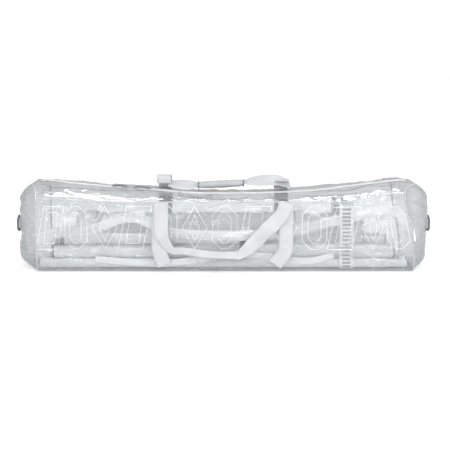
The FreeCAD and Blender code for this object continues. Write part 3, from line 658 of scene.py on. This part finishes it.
ROOF_PARTS = 30
SHARES = [k / ROOF_PARTS for k in range(ROOF_PARTS + 1)]
for word, side in (("front", -1), ("back", 1)):
    for end_word, start, stop in (("left", -END_X, SPLIT_X), ("right", SPLIT_X, END_X)):
        rows = [[roof_point(x, share, side) for share in SHARES] for x in places(start, stop)]
        sheet = film_piece(f"film_roof_{word}_{end_word}", rows)
        if word == "front":
            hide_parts("top_" + end_word)
        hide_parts("flap_" + word)
        bend(sheet)

# %% [markdown]
# ## The end panels
#
# Each end is a separate panel sewn round its edge, and the load pushes it out into a shallow dome with
# soft corners. It is built from rings that shrink from the seam to the middle, and a formula says how
# far the dome stands out: nothing at the seam, most over the middle.

# %% Ends
DOME = 0.040
RINGS = 26


def end_section(x):
    """The loop of the end seam: the body's section, then the roof from the back round to the front."""
    back = [roof_point(x, 1 - share, 1) for share in SHARES[1:]]
    front = [roof_point(x, share, -1) for share in SHARES[1:-1]]
    return body_section(x) + back + front


def dome(y, z):
    """How far the end stands out at a point of its panel."""
    inset = min(abs(y) / HALF_DEPTH, 1.0)
    top = roof(END_X, math.asin(inset))[1]
    past = max(abs(y) - (HALF_DEPTH - BASE_ROUND), 0.0)
    bottom = BASE_ROUND - math.sqrt(max(BASE_ROUND**2 - past**2, 0.0))
    middle = (top + bottom) / 2
    level = min(abs(z - middle) / (top - middle), 1.0)
    return DOME * (1 - inset**2) * (1 - level ** (6 if z > middle else 8))


for word, side in (("left", -1), ("right", 1)):
    rim = end_section(side * END_X)
    centre = Vector((side * END_X, 0, crown_z(END_X) / 2))
    rows = []
    for k in range(RINGS):
        share = math.cos(RIGHT_ANGLE * k / RINGS)
        ring = []
        for point in rim:
            spot = centre.lerp(point, share)
            crumple = slack(spot.y, spot.z, 21.0 + side) * smooth(1.0, 0.75, share) * 0.9
            spot.x += side * (dome(spot.y, spot.z) + clamp(crumple, -0.006, 0.004))
            ring.append(spot)
        rows.append(ring)
    rows.append([sum(rows[-1], Vector()) / len(rim)] * len(rim))
    rows = [[drawn_in(point) for point in row] for row in rows]
    cap = grid_piece(
        "film_end_" + word, rows, lambda i, j: (j * STEP, i * STEP), clear_film, around=True
    )
    cap.data.validate()
    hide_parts("end_panel_" + word)
    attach(cap, "bag")

# %% [markdown]
# ## Piping
#
# The seams are bound with a soft white piping. From the side it draws the bag's outline: a loop round
# each end, and a line along the top of the front and the back. It is a round bead along the seam line.

# %% Seam piping
PIPING = 0.0017
loops = [[drawn_in(point) for point in end_section(x)] for x in (-END_X, END_X)]
for point in loops[0] + loops[1]:
    point.z = max(point.z, PIPING)  # so that the bead rests on the floor
piping = cord_piece("end_piping", loops, PIPING, piping_pvc)
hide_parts("end_bindings")
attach(piping, "bag")
for word, side in (("front", -1), ("back", 1)):
    line = [drawn_in(side_point(x, seam_z(x), side)) for x in places(-END_X + 0.002, END_X - 0.002)]
    bead = cord_piece(f"seam_piping_{word}", [line], PIPING * 0.9, piping_pvc, closed=False)
    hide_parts("seam_binding_" + word)
    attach(bead, "bag")

# %% [markdown]
# ## The zip
#
# A coil zip: two woven tapes with a nylon coil sewn along the inner edge of each. The coil's turns
# interlock, and the sliders, which stay CAD parts, run over them. The turns are drawn 2.4 mm apart,
# about twice the real pitch, so that they show.

# %% Tapes and coils
X_AXIS, Y_AXIS, Z_AXIS = Vector((1, 0, 0)), Vector((0, 1, 0)), Vector((0, 0, 1))
TAPE_MIDDLE, TAPE_WIDTH, TAPE_THICK = 0.00875, 0.0145, 0.0008
COIL_MIDDLE, COIL_WIDTH, COIL_PITCH = 0.00255, 0.0033, 0.0024
COIL_THIN, COIL_THICK, COIL_LIFT = 0.0011, 0.0018, 0.0004
for word, side in (("front", -1), ("back", 1)):
    for end_word, start, stop in (("left", -ZIP_HALF, SPLIT_X), ("right", SPLIT_X, ZIP_HALF)):
        line = [Vector((x, side * TAPE_MIDDLE, crown_z(x) + TAPE_THICK / 2)) for x in places(start, stop)]
        tape = ribbon(
            f"zip_tape_{word}_{end_word}", line, Y_AXIS, TAPE_WIDTH, TAPE_THICK, tape_weave
        )
        steps = places(start, stop, COIL_PITCH / 3)
        line = [Vector((x, side * COIL_MIDDLE, crown_z(x) + COIL_LIFT)) for x in steps]
        bead = [COIL_THIN if k % 3 else COIL_THICK for k in range(len(line))]
        coil = ribbon(
            f"zip_coil_{word}_{end_word}", line, Y_AXIS, COIL_WIDTH, bead, coil_nylon, columns=2
        )
        for piece, kind in ((tape, "zip_tape_"), (coil, "zip_teeth_")):
            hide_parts(kind + word)
            if word == "front":
                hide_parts(kind + end_word)
            bend(piece)

# %% [markdown]
# ## Webbing on the body
#
# A length of webbing is sewn up the front and the back at each side of the middle, and carries the
# load to the handles. It lies on the film and takes its waves, so it is laid over the same surface,
# a hair above it. Boxes of stitches hold it at the top and bottom; only those at the top are made here.

# %% Body webbing
WEB_WIDTH, WEB_THICK = 0.038, 0.0018
WEB_GAP, STITCH_GAP = 0.0004, 0.0006  # over the film, and over the film and the webbing
STITCH_LONG, STITCH_HALF, STITCH_HIGH = 0.0032, 0.0006, 0.0005
WEB_STRAY = {  # how far each webbing strays sideways, and at what height
    -1: [(0.000, 0.178), (-0.004, 0.100), (-0.007, 0.069), (-0.002, 0.043), (0.008, 0.018)],
    1: [(0.000, 0.178), (0.001, 0.077), (-0.002, 0.055), (-0.014, 0.037), (-0.027, 0.020)],
}


def stray(x, z):
    """Where the webbing's middle line is at a height, for the left or the right one."""
    run = WEB_STRAY[-1 if x < 0 else 1]
    for (a, high), (b, low) in zip(run, run[1:]):
        if z >= low:
            share = min((high - z) / (high - low), 1.0)
            return x + a + (b - a) * share
    return x + run[-1][0]


def stitches(name, runs, body):
    """Short raised threads along runs of (point, outward) pairs, as one piece."""
    verts, faces = [], []
    for run in runs:
        for (a, out), (b, _) in zip(run, run[1:]):
            way = (b - a).normalized() * (STITCH_LONG / 2)
            side = out.cross(way).normalized() * STITCH_HALF
            middle, top = (a + b) / 2, out * STITCH_HIGH
            first = len(verts)
            verts += [middle - way, middle + side + top * 0.4, middle + way, middle - side + top * 0.4]
            verts += [middle + top - way * 0.5, middle + top + way * 0.5]
            for cells in ((0, 1, 4), (1, 2, 5), (1, 5, 4), (2, 3, 5), (3, 0, 4), (3, 4, 5), (0, 3, 2, 1)):
                faces.append([first + k for k in cells])
    made = mesh_object(name, verts, faces, coil_nylon)
    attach(made, body)
    print(f"{name}: {len(faces) // 7} stitches")


def box_run(middle_x, low, high, half, place, pitch=0.0045):
    """Points round a box of stitching and along its two diagonals."""
    left, right = middle_x - half, middle_x + half
    corners = [(left, low), (right, low), (right, high), (left, high)]
    legs = [(corners[a], corners[b]) for a, b in ((0, 1), (1, 2), (2, 3), (3, 0), (0, 2), (1, 3))]
    runs = []
    for (ax, az), (bx, bz) in legs:
        count = round(math.hypot(bx - ax, bz - az) / pitch)
        runs.append([place(ax + (bx - ax) * k / count, az + (bz - az) * k / count) for k in range(count + 1)])
    return runs


for word, side in (("front", -1), ("back", 1)):
    for end_word, x in (("left", -HANDLE_X), ("right", HANDLE_X)):
        run = smooth_line([(x + off, z, 0) for off, z in WEB_STRAY[-1 if x < 0 else 1]], 0.003)
        line = [side_point(spot.x, spot.y, side, WEB_THICK / 2 + WEB_GAP) for spot in run]
        across = [Vector((-way.y, 0, way.x)) for way in tangents(run)]
        strip = ribbon(
            f"body_webbing_{word}_{end_word}", line, across, WEB_WIDTH, WEB_THICK, webbing
        )
        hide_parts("body_webbing_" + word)
        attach(strip, "bag")

    def on_webbing(x, z):
        """A point on the webbing's outer face, and the way out from it."""
        return side_point(x, z, side, WEB_THICK + STITCH_GAP), Vector((0, side, 0))

    runs = []
    for x in (-HANDLE_X, HANDLE_X):
        runs += box_run(stray(x, 0.160), 0.146, 0.172, 0.015, on_webbing)
    stitches("webbing_stitches_" + word, runs, "bag")

# %% [markdown]
# ## The front handle
#
# The front handle hangs slack: two arms come down from the seam and join in a long, folded loop. It
# narrows where the webbing is doubled along its middle. The line is drawn through listed points, and the
# strap is turned about it a little, so that its face catches the light unevenly as slack webbing does.

# %% Front handle
HANDLE_Y = pivot["handle_front_lift"][1]
FRONT_RUN = [  # (x, z, width, twist in degrees)
    (-0.161, 0.184, 0.038, 0),
    (-0.161, 0.145, 0.038, 3),
    (-0.161, 0.105, 0.038, -4),
    (-0.149, 0.077, 0.030, -18),
    (-0.133, 0.059, 0.026, -30),
    (-0.105, 0.058, 0.021, -22),
    (-0.048, 0.050, 0.019, 14),
    (-0.009, 0.0475, 0.019, 22),
    (0.030, 0.047, 0.020, 14),
    (0.045, 0.050, 0.025, 2),
    (0.075, 0.074, 0.038, -10),
    (0.103, 0.104, 0.039, -8),
    (0.128, 0.128, 0.040, 4),
    (0.147, 0.148, 0.038, 12),
    (0.158, 0.168, 0.038, 2),
    (0.161, 0.184, 0.038, 0),
]


def flat_run(points, y, bow=0.0):
    """A strap's line, width directions and widths, from (x, z, width, twist) points in an upright plane.

    bow is how far its middle stands out towards the front.
    """
    centre = smooth_line([(x, z, 0) for x, z, _, _ in points])
    marks = [0.0]
    for (ax, az, *_), (bx, bz, *_) in zip(points, points[1:]):
        marks.append(marks[-1] + math.hypot(bx - ax, bz - az))
    line, across, widths, run = [], [], [], 0.0
    for k, (point, way) in enumerate(zip(centre, tangents(centre))):
        run += (point - centre[k - 1]).length if k else 0
        place = min(run, marks[-1] - 1e-6)
        i = max(n for n, mark in enumerate(marks[:-1]) if mark <= place)
        t = smooth(0, 1, (place - marks[i]) / (marks[i + 1] - marks[i]))
        width = points[i][2] * (1 - t) + points[i + 1][2] * t
        twist = math.radians(points[i][3] * (1 - t) + points[i + 1][3] * t)
        flat = Vector((-way.y, 0, way.x))
        line.append(Vector((point.x, y - bow * math.sin(math.pi * min(run / marks[-1], 1.0)), point.y)))
        across.append(flat * math.cos(twist) + Vector((0, math.sin(twist), 0)))
        widths.append(width)
    return line, across, widths


line, across, widths = flat_run(FRONT_RUN, HANDLE_Y, bow=0.006)
handle = ribbon("front_handle", line, across, widths, WEB_THICK, webbing, columns=8)
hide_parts("handle_front")
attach(handle, "handle_front")

# %% [markdown]
# ## The back handle and its grip
#
# The back handle is laid forward over the roof. Its left arm stands up in a loop, the right arm lies
# lower and bulges, and a padded wrap holds the two straps of the grip together. The wrap is a sleeve
# of fabric round foam: fullest in the middle, gathered at both ends, with a seam along the top.

# %% Back handle
grip_low, grip_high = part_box("grip")
GRIP_SETTLE = 0.005  # how far it settles into the slack roof
GRIP_RISE = 0.006  # how much higher its right end lies
GRIP_Y, GRIP_Z = (grip_low.y + grip_high.y) / 2, (grip_low.z + grip_high.z) / 2 - GRIP_SETTLE


def arm(name, x, run):
    """One arm of the back handle, whose run of (y, z) points lies across the bag."""
    line = smooth_line([(x, y, z) for y, z in run], 0.003)
    line = [point + Vector((0.0015 * math.sin(point.y * 90), 0, 0)) for point in line]
    strip = ribbon(name, line, X_AXIS, WEB_WIDTH, WEB_THICK, webbing, columns=8)
    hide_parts("handle_back")
    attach(strip, "handle_back")


LEFT_ARM = [  # (y, z)
    (0.122, 0.190), (0.112, 0.207), (0.098, 0.2145), (0.080, 0.217), (0.0745, 0.226), (0.066, 0.2345),
    (0.056, 0.2355), (0.047, 0.229), (0.0435, 0.220), (0.043, 0.2135),
]
RIGHT_ARM = [(0.122, 0.190), (0.110, 0.209), (0.090, 0.2185), (0.060, 0.2225), (0.034, 0.2205)]
arm("back_handle_left_arm", -HANDLE_X, LEFT_ARM)
arm("back_handle_right_arm", HANDLE_X, RIGHT_ARM)

# %% Strap under the grip
BRIDGE = [  # (x, z, twist in degrees) along the strap that the grip wraps
    (-0.150, 0.2125, 22), (-0.110, 0.2105, 34), (-0.080, 0.2085, 26), (-0.060, 0.2080, 8),
    (-0.010, 0.2105, 0), (0.050, 0.2145, 8), (0.085, 0.2190, 36), (0.120, 0.2215, 46),
    (0.150, 0.2205, 44), (0.172, 0.2120, 30), (0.181, 0.2000, 14),
]
BRIDGE_WIDTH = 0.036
run = smooth_line([(x, z, 0) for x, z, _ in BRIDGE], 0.003)
turns = smooth_line([(x, twist / 1000, 0) for x, z, twist in BRIDGE], 0.003)
line = [Vector((spot.x, GRIP_Y, spot.y)) for spot in run]
across = []
for spot, way in zip(run, tangents(run)):
    near = min(turns, key=lambda turn: abs(turn.x - spot.x))
    twist = math.radians(near.y * 1000)
    across.append(Vector((-way.y * math.sin(twist), math.cos(twist), way.x * math.sin(twist))))
bridge = ribbon("back_handle_bridge", line, across, BRIDGE_WIDTH, WEB_THICK, webbing, columns=8)
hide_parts("handle_back")
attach(bridge, "handle_back")

# %% Grip
GRIP_TURNS, GRIP_STEP = 40, 0.003
GATHER = 0.16  # how much narrower the sleeve is at its gathered ends
SEAM_TURN, SEAM_DIP = 1.9, 0.0012
EDGE_WIDE, EDGE_TALL = 0.0168, 0.0084  # the bound edge, from the middle line


def grip_z(x):
    """The height of the grip's middle line."""
    return GRIP_Z + GRIP_RISE * (x - grip_low.x) / (grip_high.x - grip_low.x)


rows = []
for x in places(grip_low.x, grip_high.x, GRIP_STEP):
    share = (x - grip_low.x) / (grip_high.x - grip_low.x)
    gather = 1 - GATHER * math.exp(-share / 0.05) - GATHER * math.exp(-(1 - share) / 0.05)
    fullness = gather * (0.94 + 0.06 * math.sin(math.pi * share))
    ring = []
    for k in range(GRIP_TURNS):
        turn = 2 * math.pi * k / GRIP_TURNS
        pucker = 0.0007 * noise.noise(Vector((x * 120, math.cos(turn) * 2, math.sin(turn) * 2)))
        seam = -SEAM_DIP * math.exp(-(((turn - SEAM_TURN) / 0.12) ** 2))
        wide = (grip_high.y - grip_low.y) / 2 * fullness + pucker + seam
        tall = (grip_high.z - grip_low.z) / 2 * fullness + pucker + seam
        ring.append(Vector((x, GRIP_Y + wide * math.cos(turn), grip_z(x) + tall * math.sin(turn))))
    rows.append(ring)
grip = grid_piece(
    "padded_grip", rows, lambda i, j: (j * 0.0025, i * GRIP_STEP), wrap_weave,
    around=True, caps=True,
)
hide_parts("grip")
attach(grip, "handle_back")
for word, x in (("left", grip_low.x), ("right", grip_high.x)):
    turns = [2 * math.pi * k / GRIP_TURNS for k in range(GRIP_TURNS)]
    rim = [Vector((x, GRIP_Y + EDGE_WIDE * math.cos(t), grip_z(x) + EDGE_TALL * math.sin(t))) for t in turns]
    edge = cord_piece(f"grip_binding_{word}", [rim], 0.0018, moulded_caps)
    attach(edge, "handle_back")

# %% [markdown]
# ## The label and the end tabs
#
# A ribbed woven label is sewn on the front flap. It is left blank. At each end a short tab of webbing
# is folded through a ring: the fold is a tight U, and both legs are sewn to the end panel.

# %% Label and tabs
label_low, label_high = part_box("label")
LABEL_SHIFT = -0.007  # it slips a little down the shoulder
LABEL_UNDER, LABEL_TOP = 0.0008, 0.0026  # its two faces over the film
RIB_PITCH, RIB_HEIGHT = 0.008, 0.0011
LABEL_STEP, LABEL_ACROSS = 0.001, 0.004
rows = []
for x in places(label_low.x, label_high.x, LABEL_STEP):
    rib = RIB_HEIGHT * math.sin(2 * math.pi * x / RIB_PITCH)
    across = places(label_low.y + LABEL_SHIFT, label_high.y + LABEL_SHIFT, LABEL_ACROSS)
    upper = [over_crown(x, y, LABEL_TOP + rib) for y in across]
    under = [over_crown(x, y, LABEL_UNDER) for y in reversed(across)]
    rows.append(upper + under)
label = grid_piece(
    "blank_label", rows, lambda i, j: (j * LABEL_ACROSS, i * LABEL_STEP), label_weave,
    around=True, caps=True,
)
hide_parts("label")
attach(label, "flap_front")

# %% End tabs
for word, side in (("left", -1), ("right", 1)):
    low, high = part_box("tab_" + word)
    root, fold = (high.x, low.x) if side < 0 else (low.x, high.x)
    half = (high.y - low.y) / 2 - WEB_THICK / 2
    bend_x = fold - side * (half + WEB_THICK / 2)
    start_x = root - side * 0.001
    run = [(start_x, half), (bend_x - side * 0.001, half)]
    for turn in (math.radians(degrees) for degrees in range(15, 166, 15)):
        run.append((bend_x + side * half * math.sin(turn), half * math.cos(turn)))
    run += [(bend_x - side * 0.001, -half), (start_x, -half)]
    line = smooth_line([(x, y, (low.z + high.z) / 2) for x, y in run], 0.001)
    tab = ribbon(f"end_tab_{word}", line, Z_AXIS, high.z - low.z, WEB_THICK, webbing)
    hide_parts("tab_" + word)
    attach(tab, "bag")

# %% [markdown]
# ## The print on the front
#
# The front film carries a screen-printed band of thin white outlines. Here it is a plain pattern of
# slanted bars, octagons and lozenges. Ink is a skin a fraction of a millimetre thick, so each outline
# is a narrow ribbon of faces lying just outside the film and following its waves.

# %% Printed outlines
PRINT_LOW, PRINT_HIGH = 0.0615, 0.1735
LINE_WIDTH, LINE_STEP, INK_GAP = 0.0013, 0.004, 0.0006
PRINT_LEFT, PRINT_PITCH, SHAPE_HALF = -0.462, 0.0775, 0.032
LEAN, CUT = 0.012, 0.022  # a bar's slant, and an octagon's cut corners
KINDS = "bar octagon lozenge bar octagon lozenge octagon bar lozenge octagon bar lozenge octagon".split()


def outline(kind):
    """The corners of one printed shape round (0, 0), as (x, z)."""
    half, tall = SHAPE_HALF, (PRINT_HIGH - PRINT_LOW) / 2
    if kind == "bar":
        return [(-half - LEAN, -tall), (half - LEAN, -tall), (half + LEAN, tall), (-half + LEAN, tall)]
    if kind == "lozenge":
        return [(-half, 0), (0, -tall), (half, 0), (0, tall)]
    return [
        (-half + CUT, -tall), (half - CUT, -tall), (half, -tall + CUT), (half, tall - CUT),
        (half - CUT, tall), (-half + CUT, tall), (-half, tall - CUT), (-half, -tall + CUT),
    ]


def inked(a, b, verts, faces):
    """Adds one printed line from a to b, a strip of faces that lies on the front film."""
    (ax, az), (bx, bz) = a, b
    run = math.hypot(bx - ax, bz - az)
    wx, wz = (bx - ax) / run, (bz - az) / run
    parts = max(1, round(run / LINE_STEP))
    first = len(verts)
    for n in range(parts + 1):
        along = -LINE_WIDTH / 2 + (run + LINE_WIDTH) * n / parts
        for off in (-LINE_WIDTH / 2, LINE_WIDTH / 2):
            spot = side_point(ax + wx * along - wz * off, az + wz * along + wx * off, -1, INK_GAP)
            verts.append(drawn_in(spot))
    for n in range(first, first + 2 * parts, 2):
        faces.append((n, n + 1, n + 3, n + 2))


# %% The band of shapes
verts, faces = [], []
for number, kind in enumerate(KINDS):
    middle_x, middle_z = PRINT_LEFT + number * PRINT_PITCH, (PRINT_LOW + PRINT_HIGH) / 2
    for scale_x, scale_z in ((1.0, 1.0), (0.4, 0.6) if kind == "lozenge" else (0.52, 0.72)):
        corners = [(middle_x + x * scale_x, middle_z + z * scale_z) for x, z in outline(kind)]
        for a, b in zip(corners, corners[1:] + corners[:1]):
            inked(a, b, verts, faces)
ink = mesh_object("front_print", verts, faces, print_ink)
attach(ink, "bag")
print("printed shapes:", len(KINDS))

# %% [markdown]
# ## The straps packed inside
#
# A broad shoulder strap lies against the front film in a long wave, and the net's narrow tension strap
# lies lower down. A third strap, woven with dark rungs like a ladder, goes round the whole bundle.

# %% Packed straps
SHOULDER_RUN = [
    (-0.493, 0.084), (-0.462, 0.094), (-0.414, 0.103), (-0.366, 0.105), (-0.318, 0.118), (-0.276, 0.137),
    (-0.236, 0.141), (-0.205, 0.134), (-0.176, 0.117), (-0.140, 0.103), (-0.063, 0.095), (0.045, 0.094),
    (0.120, 0.097), (0.176, 0.104), (0.236, 0.119), (0.288, 0.133), (0.338, 0.143), (0.384, 0.156),
    (0.424, 0.161), (0.454, 0.152), (0.474, 0.132), (0.484, 0.106), (0.488, 0.078),
]
TENSION_RUN = [
    (-0.335, 0.032), (-0.262, 0.025), (-0.196, 0.020), (-0.139, 0.021), (-0.047, 0.034), (0.045, 0.043),
    (0.118, 0.039), (0.180, 0.029), (0.234, 0.028), (0.288, 0.042),
]
STRAP_THICK = 0.0016
STRAPS = (("shoulder_strap", SHOULDER_RUN, 0.027, 12), ("tension_strap", TENSION_RUN, 0.018, 14))
for name, run, width, swing in STRAPS:  # swing is how many degrees its face turns to and fro
    low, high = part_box(name)
    points = [(x, z, width, swing * math.sin(k * 1.9)) for k, (x, z) in enumerate(run)]
    line, across, widths = flat_run(points, (low.y + high.y) / 2)
    strap = ribbon(name + "_cloth", line, across, widths, STRAP_THICK, strap_weave, columns=8)
    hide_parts(name)
    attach(strap, "bag")

# %% Bundle strap
low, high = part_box("bundle_strap")
corner = 0.020
reach = corner - WEB_THICK / 2
arcs = [(high.y, high.z, 0), (low.y, high.z, 90), (low.y, low.z, 180), (high.y, low.z, 270)]
line = []
for y, z, start in arcs:
    cy = y + (corner if y < 0 else -corner)
    cz = z + (corner if z < 0.05 else -corner)
    for degrees in range(start, start + 91, 10):
        turn = math.radians(degrees)
        line.append(Vector(((low.x + high.x) / 2, cy + reach * math.cos(turn), cz + reach * math.sin(turn))))
dense = []
for a, b in zip(line, line[1:] + line[:1]):
    count = max(1, round((b - a).length / 0.006))
    dense += [a.lerp(b, k / count) for k in range(count)]
wobbly = [p + Vector((0.0012 * math.sin(p.z * 70 + p.y * 50), 0, 0)) for p in dense]
bundle = ribbon(
    "bundle_strap_cloth", wobbly, X_AXIS, WEB_WIDTH, WEB_THICK, ladder_weave,
    closed=True, columns=8,
)
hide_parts("bundle_strap")
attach(bundle, "bag")

# %% [markdown]
# ## The rolled net
#
# The net is rolled on its rod like a carpet. The roll is not round: the turns settle, and the mesh
# bunches into soft ridges. Its ends show the turns as a spiral. It is one closed form, made by
# sweeping a profile round the rod, with the radius growing along the last turn so its edge shows.
# Its strands are drawn 7 mm apart, closer than in one layer, since many layers show at once. The
# holes between them are painted darker, as painted shade of the layers beneath.

# %% The net's material
STRAND_PITCH = 0.007
net_mesh, tree, out = new_material("knotless_nylon_net")
measure = node(tree, "UVMap", uv_map="cloth").outputs[0]
turned = node(tree, "Mapping", [("Vector", measure), ("Rotation", (0, 0, math.radians(38)))]).outputs[0]
lines = []
for way in "XY":
    wave = node(
        tree, "TexWave",
        [("Vector", turned), ("Scale", math.pi / (10 * STRAND_PITCH)), ("Distortion", 1.4), ("Detail", 2)],
        bands_direction=way,
    )
    lines.append(wave.outputs["Fac"])
strands = node(tree, "Math", [(0, lines[0]), (1, lines[1])], operation="MAXIMUM").outputs[0]
edge = node(tree, "MapRange", [("Value", strands), ("From Min", 0.55), ("From Max", 0.92)]).outputs[0]
patch = node(tree, "TexNoise", [("Vector", measure), ("Scale", 14), ("Detail", 4)]).outputs["Fac"]
shade = node(tree, "Math", [(0, edge), (1, patch)], operation="MULTIPLY").outputs[0]
# painted shade: the holes between the strands take the darker colour, standing in for the shaded layers of
# the roll beneath them; the noise patches add random tone
tint = node(
    tree, "Mix", [("Factor", shade), (6, colour("CACDCF")), (7, colour("F2F3F4"))], data_type="RGBA"
).outputs[2]
relief = node(tree, "Bump", [("Height", strands), ("Strength", 0.8), ("Distance", 0.003)]).outputs[0]
skin = node(
    tree, "BsdfPrincipled",
    [("Base Color", tint), ("Roughness", 0.7), ("IOR", 1.53), ("Sheen Weight", 0.3), ("Normal", relief)],
)
tree.links.new(skin.outputs[0], out.inputs["Surface"])

# %% The roll
low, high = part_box("net_roll")
ROLL_RADIUS, ROLL_Z = (high.z - low.z) / 2, (high.z + low.z) / 2
ROD_HOLE = 0.0056
ROLL_TURNS, END_PARTS = 96, 24  # points round the roll, and from the rod to its rim
END_INSET = 0.0035
profile = [(low.x, ROD_HOLE + (ROLL_RADIUS - ROD_HOLE) * k / END_PARTS) for k in range(END_PARTS)]
profile += [(x, ROLL_RADIUS) for x in places(low.x, high.x, 0.006)]
profile += [(high.x, ROLL_RADIUS - (ROLL_RADIUS - ROD_HOLE) * k / END_PARTS) for k in range(1, END_PARTS + 1)]


def roll_uv(i, j):
    """Along the roll, carried on over both ends, and round it."""
    x, radius = profile[j]
    if j < END_PARTS:
        x -= radius
    elif j >= len(profile) - END_PARTS:
        x += ROLL_RADIUS - radius
    return x, ROLL_RADIUS * 2 * math.pi * i / ROLL_TURNS


rows = []
for k in range(ROLL_TURNS):
    turn = 2 * math.pi * k / ROLL_TURNS
    ring = []
    for x, radius in profile:
        share = radius / ROLL_RADIUS
        lap = 0.0035 * (1 - k / ROLL_TURNS)
        lump = 0.0022 * noise.noise(Vector((x * 9, 1.6 * math.cos(turn), 1.6 * math.sin(turn))))
        ridge = 0.0016 * (abs(noise.noise(Vector((x * 22, 7 * math.cos(turn), 7 * math.sin(turn))))) - 0.3)
        r = min(radius - share**6 * (0.0012 + lap - lump - ridge), ROLL_RADIUS)
        inward = 0
        if share < 0.999:  # on an end, where the turns show as a spiral
            spiral = 0.0020 * math.sin(2 * math.pi * (radius / 0.008 + k / ROLL_TURNS))
            inward = (1 if x < 0 else -1) * (END_INSET - spiral)
        ring.append(Vector((x + inward, r * math.cos(turn), ROLL_Z + r * math.sin(turn))))
    rows.append(ring)
roll = grid_piece("net_roll_cloth", rows, roll_uv, net_mesh, along=True)
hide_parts("net_roll")
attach(roll, "bag")

# %% Headband and tie
for name, lap in (("net_headband", 0.6), ("net_tie", 2.1)):
    low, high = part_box(name)
    middle = (low + high) / 2
    line = []
    for k in range(ROLL_TURNS):
        turn = 2 * math.pi * k / ROLL_TURNS
        radius = (high.z - low.z) / 2 - 0.0009 - 0.0004 * math.sin(3 * turn + lap)
        line.append(Vector((middle.x, radius * math.cos(turn), middle.z + radius * math.sin(turn))))
    band = ribbon(name + "_cloth", line, X_AXIS, high.x - low.x, 0.0015, net_tape, closed=True)
    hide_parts(name)
    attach(band, "bag")

# %% [markdown]
# ## Floor, light and camera
#
# A clear object is only seen by what it reflects and what it covers, so the room matters as much as
# the material. The floor and the surroundings are nearly white. Two panels high over the bag's ends
# draw the bright line along its shoulder, and a low strip in front draws the folds of the film. A
# broad panel behind that strip lights what is packed inside. Some lights act on reflections only, or
# on matt surfaces only, so that each look can be set without changing the other.

# %% Floor
FLOOR_HALF, FLOOR_DROP = 30.0, 0.0012
floor_paint, tree, out = new_material("matt_white_floor")
skin = node(
    tree, "BsdfPrincipled",
    [("Base Color", colour("FBFBFB")), ("Roughness", 0.9), ("Specular IOR Level", 0.1),
     ("Emission Color", colour("FFFFFF")), ("Emission Strength", 0.16)],
)
tree.links.new(skin.outputs[0], out.inputs["Surface"])
corners = [(x * FLOOR_HALF, y * FLOOR_HALF, 0) for x, y in ((-1, -1), (1, -1), (1, 1), (-1, 1))]
floor = mesh_object("floor", corners, [(0, 1, 2, 3)], floor_paint)
floor.location.z = -FLOOR_DROP

# %% Surroundings
world = bpy.data.worlds.new("studio")
bpy.context.scene.world = world
world.use_nodes = True
tree = world.node_tree
tree.nodes.clear()
out = tree.nodes.new("ShaderNodeOutputWorld")
way = node(tree, "TexCoord").outputs["Generated"]
flattened = node(tree, "Mapping", [("Vector", way), ("Scale", (1, 1, 2.4))]).outputs[0]
cloud = node(
    tree, "TexNoise", [("Vector", flattened), ("Scale", 2.2), ("Detail", 2), ("Distortion", 1.0)]
).outputs["Fac"]
patchy = node(
    tree, "MapRange",
    [("Value", cloud), ("From Min", 0.36), ("From Max", 0.64), ("To Min", 0.72), ("To Max", 1.08)],
).outputs[0]
seen = node(tree, "LightPath").outputs["Is Camera Ray"]
level = node(tree, "Mix", [("Factor", seen), ("A", patchy), ("B", 1.1)]).outputs[0]
sky = node(tree, "Background", [("Color", colour("FFFFFF")), ("Strength", level)])
tree.links.new(sky.outputs[0], out.inputs["Surface"])


# %% Lights
def softbox(name, place, aim, size, power, only_gloss=False, only_diffuse=False):
    """A rectangular light facing an aim point. One that is only gloss or only diffuse skips the other."""
    light = bpy.data.lights.new(name, "AREA")
    light.shape = "RECTANGLE"
    light.size, light.size_y = size
    light.energy = power
    lamp = bpy.data.objects.new(name, light)
    bpy.context.scene.collection.objects.link(lamp)
    lamp.location = place
    lamp.rotation_euler = (Vector(aim) - Vector(place)).to_track_quat("-Z", "Y").to_euler()
    lamp.visible_diffuse, lamp.visible_glossy = not only_gloss, not only_diffuse
    print(f"{name}: {power} W")


softbox("overhead_strip", (0.0, -0.25, 1.5), (0.0, 0.0, 0.15), (1.9, 0.12), 3)
softbox("glare_left", (-0.46, -0.40, 1.3), (-0.30, -0.1, 0.2), (0.5, 1.0), 45, only_gloss=True)
softbox("glare_right", (0.5, -0.40, 1.3), (0.33, -0.1, 0.2), (0.5, 0.8), 38, only_gloss=True)
softbox("back_panel_light", (0.3, 1.8, 1.3), (0.0, 0.0, 0.1), (2.2, 0.9), 2)
softbox("front_panel_light", (0.2, -3.2, 1.6), (0.0, 0.0, 0.1), (3.2, 1.2), 24)
softbox("crease_strip", (0.0, -2.4, 0.9), (0.0, 0.0, 0.1), (2.6, 0.30), 12, only_gloss=True)
softbox("right_edge_light", (1.9, -1.0, 0.7), (0.45, 0.0, 0.1), (0.5, 1.2), 4)
softbox("front_fill", (0.3, -3.6, 1.0), (0.0, 0.0, 0.1), (3.2, 2.2), 44, only_diffuse=True)

# %% Camera
TARGET = Vector((0.004, 0.0, 0.1055))
ELEVATION, DISTANCE = math.radians(9), 2.87
lens = bpy.data.cameras.new("view")
lens.lens, lens.sensor_width = 85, 36
camera = bpy.data.objects.new("view", lens)
bpy.context.scene.collection.objects.link(camera)
camera.location = TARGET + DISTANCE * Vector((0, -math.cos(ELEVATION), math.sin(ELEVATION)))
camera.rotation_euler = (RIGHT_ANGLE - ELEVATION, 0, 0)
bpy.context.scene.camera = camera
bpy.context.scene.view_settings.view_transform = "Standard"
print("the camera stands", DISTANCE, "m away")
